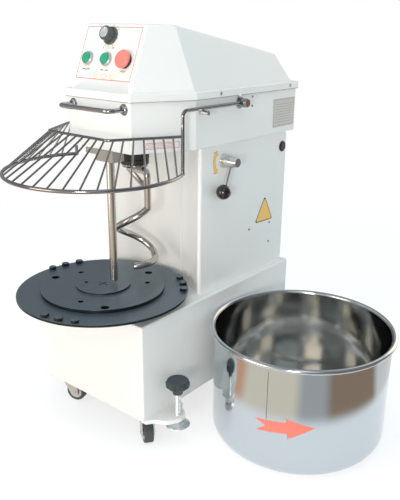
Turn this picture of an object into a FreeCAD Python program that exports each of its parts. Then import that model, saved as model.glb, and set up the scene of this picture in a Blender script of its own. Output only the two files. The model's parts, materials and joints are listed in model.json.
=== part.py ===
import FreeCAD, Part
import math
import os
import Sketcher
from FreeCAD import Placement, Rotation, Vector

# Tilting-head spiral dough mixer with a removable bowl.
# Machine axes: x to the operator's right, y to the back, z up, from the turntable's axis on the
# floor. Each finished node is moved by machine_shift, which puts the origin under the middle of
# the whole set: the machine and its bowl, which stands on the floor at the machine's right.

doc = FreeCAD.newDocument("spiral_mixer")
sheet = doc.addObject("Spreadsheet::Sheet", "Sheet")

DIMENSIONS = {
    # where things stand
    "machine_shift_x": -177.5, "machine_shift_y": -166.5,
    "bowl_gap": 1, "bowl_place_y": 251,
    # bowl
    "bowl_radius": 200, "bowl_height": 272, "bowl_wall": 2, "bowl_round": 39,
    "rim_tube": 5.5, "seat_step": 7, "seat_slack": 3,
    # turntable
    "table_height": 331, "disc_radius": 194, "disc_thick": 6, "step_radius": 140,
    "step_thick": 8, "boss_radius": 61, "boss_thick": 4, "bolt_circle": 184,
    "bolt_flats": 16, "bolt_head": 7, "bolt_angle": 48, "bolt_pitch_angle": 11.4,
    "disc_edge_round": 1.2, "big_hole_circle": 126, "big_hole_radius": 9,
    "big_hole_angle": 79, "small_hole_circle": 101, "small_hole_radius": 6,
    "small_hole_angle": 49, "pin_hole_place": 40, "pin_hole_radius": 4.5,
    "pin_hole_angle": -150, "cross_slot": 14, "cross_slot_wide": 3, "cross_slot_deep": 2,
    "shaft_radius": 17.5, "shaft_flange": 24, "shaft_flange_thick": 7,
    "shaft_end": 8, "running_gap": 0.05,
    # base and column
    "skin": 2.5, "base_half": 171, "base_front": -52, "base_rear": 516,
    "base_bottom": 79, "table_over_base": 22, "column_half": 149, "head_gap": 0.6,
    "column_front": 100, "column_recess": 217, "corner_round": 6, "channel_width": 62,
    "channel_height": 36, "channel_thick": 4, "channel_gap": 4, "side_rail": 30,
    "rear_gap_half": 135, "service_half": 108, "service_over_base": 24, "service_top": 588,
    "service_lap": 9, "service_thick": 2, "vent_over_service": 48, "vent_pitch": 16, "vent_wide": 60,
    "pad_x": 118, "pad_y": 301, "pad_radius": 14, "pad_seat": 20, "gland_x": -110,
    "gland_height": 61, "gland_thread": 10, "gland_bore": 5, "gland_nut": 15,
    "gland_nut_thick": 8, "gland_nose": 12, "gland_tip": 8, "hole_slack": 0.3,
    "shelf_depth": 34, "shelf_thick": 4, "plug_radius": 13.5, "plug_thick": 4,
    # head
    "head_front_half": 95, "head_side_half": 158, "head_front": 5, "head_shoulder": 137,
    "head_rear": 535, "head_bottom": 656, "floor_thick": 5, "lip_bottom": 762, "lip_top": 778, "lip_over": 4,
    "cover_half": 89, "cover_foot": 11, "cover_side": 154.5, "cover_rear": 515,
    "cover_top": 910, "cover_crest": 65, "cover_slope_start": 115, "cover_tail_half": 116.5,
    "cover_tail": 413.5, "cover_fall": 0.5636, "pivot_y": 494, "pivot_z": 617,
    "axle_radius": 10, "arm_inner": 118, "arm_thick": 10, "arm_reach": 54,
    # spindle, hook and breaker bar
    "spindle_x": 2, "spindle_y": 108, "spindle_radius": 15, "housing_radius": 33,
    "hook_radius": 43, "hook_rod": 8, "hook_top": 611, "hook_leg": 98, "hook_knee": 120,
    "bend_over_table": 51, "tip_over_table": 46, "hook_start_angle": -6,
    "hook_knee_turn": 144, "hook_turn": 315, "hook_tail_turn": 93, "hook_plate": 30,
    "hook_plate_thick": 6, "brace_rod": 6.5, "brace_drop": 42, "breaker_x": 17.5,
    "breaker_y": 18, "breaker_radius": 9, "breaker_over_table": 26, "bracket_bottom": 632,
    "bracket_half": 26, "bracket_depth": 17, "bracket_tail": 62, "bracket_tail_thick": 12,
    "bracket_socket": 14,
    # guard
    "guard_radius": 192, "guard_back": -10, "guard_half": 168, "guard_low": 614,
    "guard_rail": 693, "guard_rail_half": 91.5, "guard_rail_front": -55, "guard_wire": 4,
    "rail_wire": 3, "spoke_wire": 2, "guard_pivot_y": 288, "guard_pivot_z": 745,
    "spoke_angle": 9.8, "spoke_spacing": 20.7, "spoke_side_count": 11,
    "hub_radius": 10, "hub_length": 18.4, "hub_gap": 0.3, "hub_pin": 5, "boss_flange": 14,
    "boss_flange_thick": 4, "boss_cap_thick": 2, "peg_radius": 5, "peg_gap": 0.4,
    "peg_length": 24, "peg_y": 150, "guard_bend": 12, "rail_bend": 14,
    # handle, screws and panel
    "handle_half": 77, "handle_reach": 40, "handle_radius": 5, "handle_z": 746,
    "handle_bend": 14, "handle_rose": 12, "handle_rose_thick": 5, "lip_screw": 4,
    "lip_screw_front": 216, "lip_screw_rear": 496, "side_screw": 3, "side_screw_y": 340,
    "side_screw_drop": 8, "side_screw_pitch": 21, "screw_head": 1.8, "arm_eye_wall": 7,
    "panel_half": 82, "panel_low": 22.5, "panel_high": 136.5, "panel_thick": 1,
    "button_spacing": 56, "button_row": 66, "timer_row": 116, "timer_x": -4,
    "timer_stem": 4.5, "timer_flange": 19, "timer_grip": 15.5, "timer_height": 23,
    "panel_hole_reach": 30,
    "button_radius": 11.4, "bezel_radius": 14.5, "mushroom_radius": 19, "press": 2.5,
    # lock lever
    "lever_y": 249, "lever_z": 616, "lever_hub": 17, "lever_tip": 11, "lever_length": 40,
    "lever_reach": 71, "lever_lean": 21.5, "lever_ball_radius": 17.5, "lever_rod_radius": 5,
    "lever_rod_place": 21, "lever_spindle": 9, "lever_slack": 0.1, "lever_inside": 33,
    "lever_gap": 0.4, "cam_thick": 8, "cam_reach": 24,
    # casters and feet
    "caster_x": 133, "caster_front": -4, "caster_rear": 470, "caster_plate": 30,
    "wheel_radius": 25, "wheel_width": 22, "wheel_axle": 4, "wheel_hub": 9, "fork_thick": 3,
    "fork_gap": 1.5, "crown_radius": 20, "crown_thick": 10, "caster_trail": 18,
    "caster_gap": 0.3, "plate_thick": 3,
    "foot_x": 209, "foot_y": 20, "ear_root": 12, "ear_near": 65, "ear_tip": 15,
    "ear_round": 5, "ear_thick": 10, "foot_screw_radius": 7,
    "foot_pad_radius": 28, "foot_pad_low": 54, "foot_knob_radius": 27, "foot_knob_top": 168,
    "foot_pad_height": 12, "foot_knob_thick": 16, "foot_knob_height": 34,
    "foot_knob_cap": 8, "knob_lobe": 7.5, "knob_lobe_out": 3.5,
    # drives
    "table_pulley": 44, "table_motor_y": 365, "table_motor_pulley": 30,
    "spiral_pulley_radius": 88, "spiral_motor_y": 380, "spiral_motor_pulley": 28,
    "pulley_height": 26, "groove_depth": 8, "groove_height": 16, "belt_gap": 0.4,
    "belt_thick": 9, "belt_play": 2, "table_pulley_over_base": 51, "spiral_pulley_over_floor": 29,
    "table_motor_neck": 55, "neck_depth": 94, "table_motor_radius": 72, "motor_flange": 8,
    "motor_flange_thick": 10, "table_motor_height": 221, "table_motor_cap": 66,
    "motor_cap_height": 40, "drive_spindle": 12, "spindle_end": 5, "shaft_gap": 0.3,
    "bearing_depth": 13.5, "bearing_wall": 11, "bearing_flange": 24, "bearing_reach": 95,
    "bearing_flange_thick": 8, "bearing_nose": 4, "bearing_thick": 17, "bearing_inset": 8,
    "spiral_motor_radius": 72, "spiral_motor_height": 96, "spiral_motor_gap": 10,
    "motor_plate_half": 88, "motor_plate_thick": 6, "head_bore": 26, "head_bearing": 15,
    "head_flange": 17, "head_flange_thick": 8, "spindle_flange": 32,
    "spindle_flange_thick": 11, "hook_clearance": 12, "pulley_clearance": 6,
}
for row, (alias, number) in enumerate(DIMENSIONS.items(), start=1):
    sheet.set(f"A{row}", alias.replace("_", " "))
    sheet.set(f"B{row}", str(number))
    sheet.setAlias(f"B{row}", alias)
doc.recompute()


class Size:
    """A number together with the sheet expression that it follows."""

    def __init__(self, value, text=None):
        self.value = float(value)
        self.text = text

    def words(self):
        return self.text or repr(self.value)

    def joined(self, other, sign, value):
        if self.text is None and other.text is None:
            return Size(value)
        return Size(value, f"({self.words()} {sign} {other.words()})")

    def __add__(self, other):
        other = size_of(other)
        return self.joined(other, "+", self.value + other.value)

    def __sub__(self, other):
        other = size_of(other)
        return self.joined(other, "-", self.value - other.value)

    def __mul__(self, other):
        other = size_of(other)
        return self.joined(other, "*", self.value * other.value)

    def __truediv__(self, other):
        other = size_of(other)
        return self.joined(other, "/", self.value / other.value)

    def __neg__(self):
        return size_of(0) - self

    __radd__ = __add__

    def __rsub__(self, other):
        return size_of(other) - self


def size_of(number):
    return number if isinstance(number, Size) else Size(number)


def dim(alias):
    return Size(DIMENSIONS[alias], "Sheet." + alias)


def num(alias):
    return float(DIMENSIONS[alias])


def bind(item, prop, size):
    """Give a property its number, and the expression that keeps it on the sheet."""
    size = size_of(size)
    if size.text:
        item.setExpression(prop, size.text)
    return size.value


def place(item, x=0, y=0, z=0, rotation=None):
    x, y, z = size_of(x), size_of(y), size_of(z)
    item.Placement = Placement(Vector(x.value, y.value, z.value), rotation or Rotation())
    for name, size in (("x", x), ("y", y), ("z", z)):
        bind(item, "Placement.Base." + name, size)
    return item


NODES = []
SHIFT_X, SHIFT_Y = dim("machine_shift_x"), dim("machine_shift_y")


def node(item, label, x=0, y=0, z=0, rotation=None):
    """Name a finished piece and move it from machine axes to the set's own origin."""
    place(item, SHIFT_X + x, SHIFT_Y + y, z, rotation)
    item.Label = label
    NODES.append(item)
    return item


# ---------------------------------------------------------------- primitives and booleans

ALONG = {
    "x": Rotation(Vector(0, 1, 0), 90),
    "y": Rotation(Vector(1, 0, 0), -90),
    "z": Rotation(),
}


def box(name, low, high):
    """A block between two corners."""
    item = doc.addObject("Part::Box", name)
    for prop, a, b in zip(("Length", "Width", "Height"), low, high):
        setattr(item, prop, (size_of(b) - a).value)
        bind(item, prop, size_of(b) - a)
    return place(item, *low)


def cylinder(name, radius, length, start=(0, 0, 0), along="z"):
    item = doc.addObject("Part::Cylinder", name)
    item.Radius = bind(item, "Radius", radius)
    item.Height = bind(item, "Height", length)
    return place(item, *start, rotation=ALONG[along])


def cone(name, radius1, radius2, length, start=(0, 0, 0), along="z"):
    item = doc.addObject("Part::Cone", name)
    item.Radius1 = bind(item, "Radius1", radius1)
    item.Radius2 = bind(item, "Radius2", radius2)
    item.Height = bind(item, "Height", length)
    return place(item, *start, rotation=ALONG[along])


def ball(name, radius, centre=(0, 0, 0)):
    item = doc.addObject("Part::Sphere", name)
    item.Radius = bind(item, "Radius", radius)
    return place(item, *centre)


def rod(name, radius, start, end):
    """A straight round bar between two points."""
    start, end = Vector(*start), Vector(*end)
    item = doc.addObject("Part::Cylinder", name)
    item.Radius = bind(item, "Radius", radius)
    item.Height = (end - start).Length
    item.Placement = Placement(start, Rotation(Vector(0, 0, 1), end - start))
    return item


def fuse(name, items):
    item = doc.addObject("Part::MultiFuse", name)
    item.Shapes = list(items)
    return item


def cut(name, base, *tools):
    item = doc.addObject("Part::Cut", name)
    item.Base = base
    item.Tool = tools[0] if len(tools) == 1 else fuse(name + "_tools", tools)
    return item


def common(name, first, second):
    item = doc.addObject("Part::MultiCommon", name)
    item.Shapes = [first, second]
    return item


def group(name, items):
    """Separate solids kept in one node."""
    item = doc.addObject("Part::Compound", name)
    item.Links = list(items)
    return item


def mirrored(name, source):
    """The same piece on the machine's other side."""
    item = doc.addObject("Part::Mirroring", name)
    item.Source = source
    item.Normal = Vector(1, 0, 0)
    item.Base = Vector(0, 0, 0)
    return item


def rounded(name, base, radius, wanted):
    """Round the edges that the test picks."""
    doc.recompute()
    item = doc.addObject("Part::Fillet", name)
    item.Base = base
    edges = base.Shape.Edges
    item.Edges = [(i, radius, radius) for i, edge in enumerate(edges, start=1) if wanted(edge)]
    return item


def solid(name, shape):
    """A piece that no sketch or primitive makes, set from the sheet's numbers."""
    item = doc.addObject("Part::Feature", name)
    item.Shape = shape
    return item


# ---------------------------------------------------------------- sketched bodies


def polygon_sketch(body, plane, points, lift=0):
    """A closed polygon on one of the body's origin planes, each corner held to the sheet."""
    sketch = body.newObject("Sketcher::SketchObject", body.Name + "_sketch")
    origin_plane = [f for f in body.Origin.OriginFeatures if f.Role == plane][0]
    sketch.AttachmentSupport = (origin_plane, "")
    sketch.MapMode = "FlatFace"
    lift = size_of(lift)
    sketch.AttachmentOffset = Placement(Vector(0, 0, lift.value), Rotation())
    bind(sketch, "AttachmentOffset.Base.z", lift)
    corners = [(size_of(x), size_of(y)) for x, y in points]
    count = len(corners)
    for i in range(count):
        (x1, y1), (x2, y2) = corners[i], corners[(i + 1) % count]
        start, end = Vector(x1.value, y1.value, 0), Vector(x2.value, y2.value, 0)
        sketch.addGeometry(Part.LineSegment(start, end), False)
    for i in range(count):
        sketch.addConstraint(Sketcher.Constraint("Coincident", i, 2, (i + 1) % count, 1))
    for i, corner in enumerate(corners):
        for kind, size in zip(("DistanceX", "DistanceY"), corner):
            index = sketch.addConstraint(Sketcher.Constraint(kind, -1, 1, i, 1, size.value))
            bind(sketch, f"Constraints[{index}]", size)
    return sketch


def turned(name, points):
    """A body turned about its own z axis from a half profile of (radius, height) corners."""
    body = doc.addObject("PartDesign::Body", name)
    sketch = polygon_sketch(body, "XZ_Plane", points)
    turn = body.newObject("PartDesign::Revolution", name + "_turn")
    turn.Profile = sketch
    turn.ReferenceAxis = (sketch, ["V_Axis"])
    turn.Angle = 360
    body.Tip = turn
    return body


def extruded(name, points, low, high, plane="XY_Plane"):
    """A body padded between two heights above one of its own planes."""
    body = doc.addObject("PartDesign::Body", name)
    sketch = polygon_sketch(body, plane, points, low)
    pad = body.newObject("PartDesign::Pad", name + "_pad")
    pad.Profile = sketch
    pad.Length = bind(pad, "Length", size_of(high) - low)
    body.Tip = pad
    return body


def softened(body, radius, wanted):
    """Fillet the tip's edges that the test picks, inside the same body."""
    doc.recompute()
    base = body.Tip
    names = [f"Edge{i}" for i, edge in enumerate(base.Shape.Edges, start=1) if wanted(edge)]
    fillet = body.newObject("PartDesign::Fillet", body.Name + f"_round{len(body.Group)}")
    fillet.Base = (base, names)
    fillet.Radius = bind(fillet, "Radius", radius)
    body.Tip = fillet
    return body


def is_upright(edge):
    low, high = edge.Vertexes[0].Point, edge.Vertexes[-1].Point
    return abs(low.z - high.z) > 1 and abs(low.x - high.x) + abs(low.y - high.y) < 0.01


def at_height(edge, z):
    return all(abs(vertex.Point.z - z) < 0.01 for vertex in edge.Vertexes)


# ---------------------------------------------------------------- bent wires and belts


def bent_wire(points, bend):
    """Straight runs joined by tangent arcs, as one wire."""
    points = [Vector(*p) for p in points]
    edges = []
    start = points[0]
    for before, corner, after in zip(points, points[1:], points[2:]):
        arriving = (before - corner).normalize()
        leaving = (after - corner).normalize()
        half = arriving.getAngle(leaving) / 2
        setback = bend / math.tan(half)
        centre_line = (arriving + leaving).normalize()
        middle = corner + centre_line * (bend / math.sin(half) - bend)
        arc_start, arc_end = corner + arriving * setback, corner + leaving * setback
        edges.append(Part.makeLine(start, arc_start))
        edges.append(Part.Arc(arc_start, middle, arc_end).toShape())
        start = arc_end
    edges.append(Part.makeLine(start, points[-1]))
    return Part.Wire(edges)


def wire_rod(name, points, radius, bend):
    """A round bar bent along the points."""
    path = bent_wire(points, bend)
    start, heading = Vector(*points[0]), Vector(*points[1]) - Vector(*points[0])
    section = Part.Wire([Part.makeCircle(radius, start, heading)])
    return solid(name, path.makePipeShell([section], True, True))


def loop_wire(far, radius_near, radius_far, z):
    """The outline round two pulleys: one at the origin, the other at y = far."""
    lean = math.asin((radius_near - radius_far) / far)
    cos_lean, sin_lean = math.cos(lean), math.sin(lean)

    def touch(side, centre_y, radius):
        return Vector(side * radius * cos_lean, centre_y + radius * sin_lean, z)

    near_right, near_left = touch(1, 0, radius_near), touch(-1, 0, radius_near)
    far_right, far_left = touch(1, far, radius_far), touch(-1, far, radius_far)
    near_arc = Part.Arc(near_left, Vector(0, -radius_near, z), near_right).toShape()
    far_arc = Part.Arc(far_right, Vector(0, far + radius_far, z), far_left).toShape()
    sides = [Part.makeLine(near_right, far_right), Part.makeLine(far_left, near_left)]
    return Part.Wire([near_arc, sides[0], far_arc, sides[1]])


def belt_floor(pulley_low):
    """The height of a belt that runs in the middle of its pulleys' grooves."""
    spare = num("pulley_height") - num("groove_height") + num("belt_play")
    return pulley_low.value + spare / 2


def belt(name, far, near_pulley, far_pulley, low):
    """A closed belt that runs in the grooves of two pulleys, just clear of them."""
    depth, gap, thick = num("groove_depth"), num("belt_gap"), num("belt_thick")
    near_inner, far_inner = near_pulley - depth + gap, far_pulley - depth + gap
    height = num("groove_height") - num("belt_play")
    outer = loop_wire(far, near_inner + thick, far_inner + thick, low)
    inner = loop_wire(far, near_inner, far_inner, low)
    rise = Vector(0, 0, height)
    return solid(name, Part.Face(outer).extrude(rise).cut(Part.Face(inner).extrude(rise)))


# ---------------------------------------------------------------- bowl

BOWL_R, BOWL_H, BOWL_WALL = dim("bowl_radius"), dim("bowl_height"), dim("bowl_wall")
RIM = dim("rim_tube")
RIM_CENTRE = BOWL_R + RIM - BOWL_WALL / 2


def make_bowl():
    """A spun bowl: round bottom with a raised middle that drops over the turntable's boss."""
    seat = dim("boss_radius") + dim("seat_slack")
    step = dim("seat_step")
    wall_top = BOWL_H - RIM
    shell = turned("bowl_shell", [
        (0, step), (seat, step), (seat, 0), (BOWL_R, 0), (BOWL_R, wall_top),
        (BOWL_R - BOWL_WALL, wall_top), (BOWL_R - BOWL_WALL, BOWL_WALL),
        (seat + BOWL_WALL, BOWL_WALL), (seat + BOWL_WALL, step + BOWL_WALL),
        (0, step + BOWL_WALL),
    ])

    def ring_at(radius, z):
        def test(edge):
            middle = edge.CenterOfMass
            return at_height(edge, z) and abs(edge.Vertexes[0].Point.Length ** 2
                                              - radius ** 2 - z ** 2) < 1 and abs(middle.x) < 1
        return test

    softened(shell, dim("bowl_round"), ring_at(num("bowl_radius"), 0))
    softened(shell, dim("bowl_round") - BOWL_WALL,
             ring_at(num("bowl_radius") - num("bowl_wall"), num("bowl_wall")))
    bead = doc.addObject("Part::Torus", "bowl_bead")
    bead.Radius1 = bind(bead, "Radius1", RIM_CENTRE)
    bead.Radius2 = bind(bead, "Radius2", RIM)
    place(bead, 0, 0, BOWL_H - RIM)
    beside = dim("base_half") + dim("bowl_gap") + RIM_CENTRE + RIM
    node(fuse("bowl_fuse", [shell, bead]), "bowl", beside, dim("bowl_place_y"))


# ---------------------------------------------------------------- turntable

TABLE = dim("table_height")
TABLE_PULLEY_LOW = dim("base_bottom") + dim("table_pulley_over_base")
DISC_TOP = TABLE + dim("disc_thick")
STEP_TOP = DISC_TOP + dim("step_thick")
SHAFT = dim("shaft_radius")


def hole_circle(name, count, first_angle, circle, radius, low, high):
    """Upright holes spaced evenly on a circle."""
    holes = []
    for i in range(count):
        angle = math.radians(first_angle + 360 / count * i)
        x, y = circle * math.cos(angle), circle * math.sin(angle)
        holes.append(cylinder(f"{name}{i}", radius, size_of(high) - low, (x, y, low)))
    return holes


def make_turntable():
    disc = turned("disc_body", [
        (0, TABLE), (dim("disc_radius"), TABLE), (dim("disc_radius"), DISC_TOP), (0, DISC_TOP),
    ])
    softened(disc, dim("disc_edge_round"), lambda edge: at_height(
        edge, DISC_TOP.value) and edge.Length > num("disc_radius") * 5)
    node(disc, "turntable_disc")

    boss_top = STEP_TOP + dim("boss_thick")
    step = turned("step_body", [
        (0, DISC_TOP), (dim("step_radius"), DISC_TOP), (dim("step_radius"), STEP_TOP),
        (dim("boss_radius"), STEP_TOP), (dim("boss_radius"), boss_top), (0, boss_top),
    ])
    above = boss_top + 1
    big = hole_circle("big_hole", 3, num("big_hole_angle"), num("big_hole_circle"),
                      dim("big_hole_radius"), DISC_TOP, above)
    small = hole_circle("small_hole", 3, num("small_hole_angle"), num("small_hole_circle"),
                        dim("small_hole_radius"), DISC_TOP, above)
    pin_hole = hole_circle("pin_hole", 1, num("pin_hole_angle"), num("pin_hole_place"),
                           dim("pin_hole_radius"), STEP_TOP, above)
    reach, half = dim("cross_slot"), dim("cross_slot_wide") / 2
    floor = boss_top - dim("cross_slot_deep")
    cross = [box("cross_along", (-reach, -half, floor), (reach, half, above)),
             box("cross_over", (-half, -reach, floor), (half, reach, above))]
    node(cut("step_cut", step, *big, *small, *pin_hole, *cross), "turntable_step")

    heads = []
    corner_radius = num("bolt_flats") / math.sqrt(3)
    for third in range(3):
        for i in range(-1, 2):
            angle = math.radians(num("bolt_angle") + 120 * third + num("bolt_pitch_angle") * i)
            hexagon = doc.addObject("Part::Prism", f"bolt{third}{i + 1}")
            hexagon.Polygon = 6
            hexagon.Circumradius = corner_radius
            hexagon.Height = bind(hexagon, "Height", dim("bolt_head"))
            x = num("bolt_circle") * math.cos(angle)
            y = num("bolt_circle") * math.sin(angle)
            place(hexagon, x, y, DISC_TOP, Rotation(Vector(0, 0, 1), math.degrees(angle) + 15))
            heads.append(hexagon)
    node(group("bolt_heads", heads), "turntable_bolts")

    foot = TABLE_PULLEY_LOW - dim("shaft_end")
    hub = dim("shaft_radius") + dim("shaft_flange")
    hub_low = TABLE - dim("shaft_flange_thick")
    shaft = turned("shaft_body", [
        (0, foot), (SHAFT, foot), (SHAFT, hub_low), (hub, hub_low), (hub, TABLE), (0, TABLE),
    ])
    node(shaft, "turntable_shaft")


def make_pulley(name, radius, bore, low):
    """A pulley with one broad groove, turned in its working height."""
    top = low + dim("pulley_height")
    middle = low + dim("pulley_height") / 2
    half = dim("groove_height") / 2
    floor = radius - dim("groove_depth")
    return turned(name, [
        (bore, low), (radius, low), (radius, middle - half), (floor, middle - half),
        (floor, middle + half), (radius, middle + half), (radius, top), (bore, top),
    ])


def make_table_drive():
    low = TABLE_PULLEY_LOW
    node(make_pulley("table_pulley_body", dim("table_pulley"), SHAFT, low), "turntable_pulley")

    motor_y = dim("table_motor_y")
    top = TABLE - dim("table_over_base")
    neck, body, cap = dim("table_motor_neck"), dim("table_motor_radius"), dim("table_motor_cap")
    neck_low = top - dim("neck_depth")
    flange, flange_top = body + dim("motor_flange"), top + dim("motor_flange_thick")
    body_top = top + dim("table_motor_height")
    cap_low = body_top - dim("motor_cap_height")
    motor = turned("table_motor_body", [
        (0, neck_low), (neck, neck_low), (neck, top), (flange, top), (flange, flange_top),
        (body, flange_top), (body, cap_low), (cap, cap_low), (cap, body_top), (0, body_top),
    ])
    node(motor, "turntable_motor", 0, motor_y)

    spindle = dim("drive_spindle")
    shaft_low = low - dim("spindle_end")
    shaft = cylinder("drive_spindle", spindle, neck_low - dim("shaft_gap") - shaft_low,
                     (0, 0, shaft_low))
    wheel = make_pulley("drive_wheel", dim("table_motor_pulley"), spindle, low)
    node(fuse("table_drive", [shaft, wheel]), "turntable_drive_pulley", 0, motor_y)

    loop = belt("table_belt_body", num("table_motor_y"), num("table_pulley"),
                num("table_motor_pulley"), belt_floor(TABLE_PULLEY_LOW))
    node(loop, "turntable_belt")

    bore = SHAFT + dim("bearing_depth")
    outer = bore + dim("bearing_wall")
    wide = outer + dim("bearing_flange")
    low_end = top - dim("bearing_reach")
    plate_top = top + dim("bearing_flange_thick")
    nose = plate_top + dim("bearing_nose")
    housing = turned("table_housing_body", [
        (bore, low_end), (outer, low_end), (outer, top), (wide, top), (wide, plate_top),
        (outer, plate_top), (outer, nose), (bore, nose),
    ])
    node(housing, "turntable_bearing_housing")
    ring_bore, ring_thick = SHAFT + dim("running_gap"), dim("bearing_thick")
    inset = dim("bearing_inset")
    rings = []
    for i, ring_low in enumerate((low_end + inset, nose - inset - ring_thick)):
        rings.append(turned(f"table_ring{i}", [
            (ring_bore, ring_low), (bore, ring_low), (bore, ring_low + ring_thick),
            (ring_bore, ring_low + ring_thick),
        ]))
    node(group("table_rings", rings), "turntable_bearings")


# ---------------------------------------------------------------- base and column

SKIN = dim("skin")
FRONT, REAR = dim("base_front"), dim("base_rear")
BOTTOM, TOP = dim("base_bottom"), TABLE - dim("table_over_base")
HALF, COL = dim("base_half"), dim("column_half")
COL_TOP = dim("head_bottom") - dim("head_gap")


def make_base():
    """A folded steel box, open below, with holes in its top for the two drives."""
    def plan(inset):
        return [(-HALF + inset, FRONT + inset), (HALF - inset, FRONT + inset),
                (HALF - inset, REAR - inset), (-HALF + inset, REAR - inset)]

    shell = extruded("base_shell", plan(0), BOTTOM, TOP)
    softened(shell, dim("corner_round") - 1, is_upright)
    softened(shell, dim("corner_round") - 2, lambda edge: at_height(edge, TOP.value))
    hollow = extruded("base_hollow", plan(SKIN), BOTTOM - 1, TOP - SKIN)
    low, through = TOP - SKIN - 1, SKIN + 2
    housing = SHAFT + dim("bearing_depth") + dim("bearing_wall")
    turn_hole = cylinder("base_turn_hole", housing + dim("hole_slack"), through, (0, 0, low))
    motor_hole = cylinder("base_motor_hole", dim("table_motor_neck") + dim("hole_slack"),
                          through, (0, dim("table_motor_y"), low))
    gland_hole = cylinder("base_gland_hole", dim("gland_thread"), through,
                          (dim("gland_x"), REAR - SKIN - 1, BOTTOM + dim("gland_height")), "y")
    node(cut("base_cut", shell, hollow, turn_hole, motor_hole, gland_hole), "base_housing")


def channel(name, y_low):
    """A folded cross channel, open upwards, with its ends on the housing's side walls."""
    side = HALF - SKIN
    wide, thick = dim("channel_width"), dim("channel_thick")
    outer = box(name + "_outer", (-side, y_low, BOTTOM),
                (side, y_low + wide, BOTTOM + dim("channel_height")))
    inner = box(name + "_inner", (-side - 1, y_low + thick, BOTTOM + thick),
                (side + 1, y_low + wide - thick, BOTTOM + dim("channel_height") + 1))
    return cut(name, outer, inner)


def foot_ear(name):
    """A lobed plate that reaches out from under the base to hold one levelling foot."""
    x, y = dim("foot_x"), dim("foot_y")
    low = BOTTOM - dim("ear_thick")
    wall = dim("base_half")
    root = wall - dim("ear_root")
    near, tip = dim("ear_near"), dim("ear_tip")
    plate = extruded(name + "_plate", [
        (root, y - near), (wall, y - near), (wall + near / 5, y - near * 0.74),
        (x - tip / 8, y - near * 0.57), (x + tip / 2, y - tip * 1.6), (x + tip, y - tip / 2),
        (x + tip * 0.9, y + tip * 0.7), (x, y + tip * 1.5), (x - tip * 1.2, y + tip * 2),
        (x - tip * 1.5, y + tip * 2.9), (wall, y + tip * 3.1), (root, y + tip * 3.1),
    ], low, BOTTOM)
    softened(plate, dim("ear_round"),
             lambda edge: is_upright(edge) and edge.Vertexes[0].Point.x > wall.value + 1)
    hole = cylinder(name + "_hole", dim("foot_screw_radius") + dim("running_gap"),
                    dim("ear_thick") + 2, (x, y, low - 1))
    return cut(name, plate, hole)


def make_frame():
    """Chassis: two cross channels, the caster plates under them and the ears for the feet."""
    gap = dim("channel_gap")
    front_low = FRONT + SKIN + gap
    rear_low = REAR - SKIN - gap - dim("channel_width")
    pieces = [channel("front_channel", front_low), channel("rear_channel", rear_low)]
    plate = dim("caster_plate")
    for row, y in (("front", dim("caster_front")), ("rear", dim("caster_rear"))):
        for side, x in (("left", -dim("caster_x")), ("right", dim("caster_x"))):
            pieces.append(box(f"caster_plate_{row}_{side}",
                              (x - plate, y - plate, BOTTOM - dim("plate_thick")),
                              (x + plate, y + plate, BOTTOM)))
    side, rail = HALF - SKIN, dim("side_rail")
    for name, x_low in (("left_rail", -side), ("right_rail", side - rail)):
        pieces.append(box(name, (x_low, front_low, BOTTOM),
                          (x_low + rail, rear_low + dim("channel_width"),
                           BOTTOM + dim("channel_thick"))))
    ear = foot_ear("ear_right")
    pieces += [ear, mirrored("ear_left", ear)]
    node(fuse("frame_fuse", pieces), "base_frame")


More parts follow.
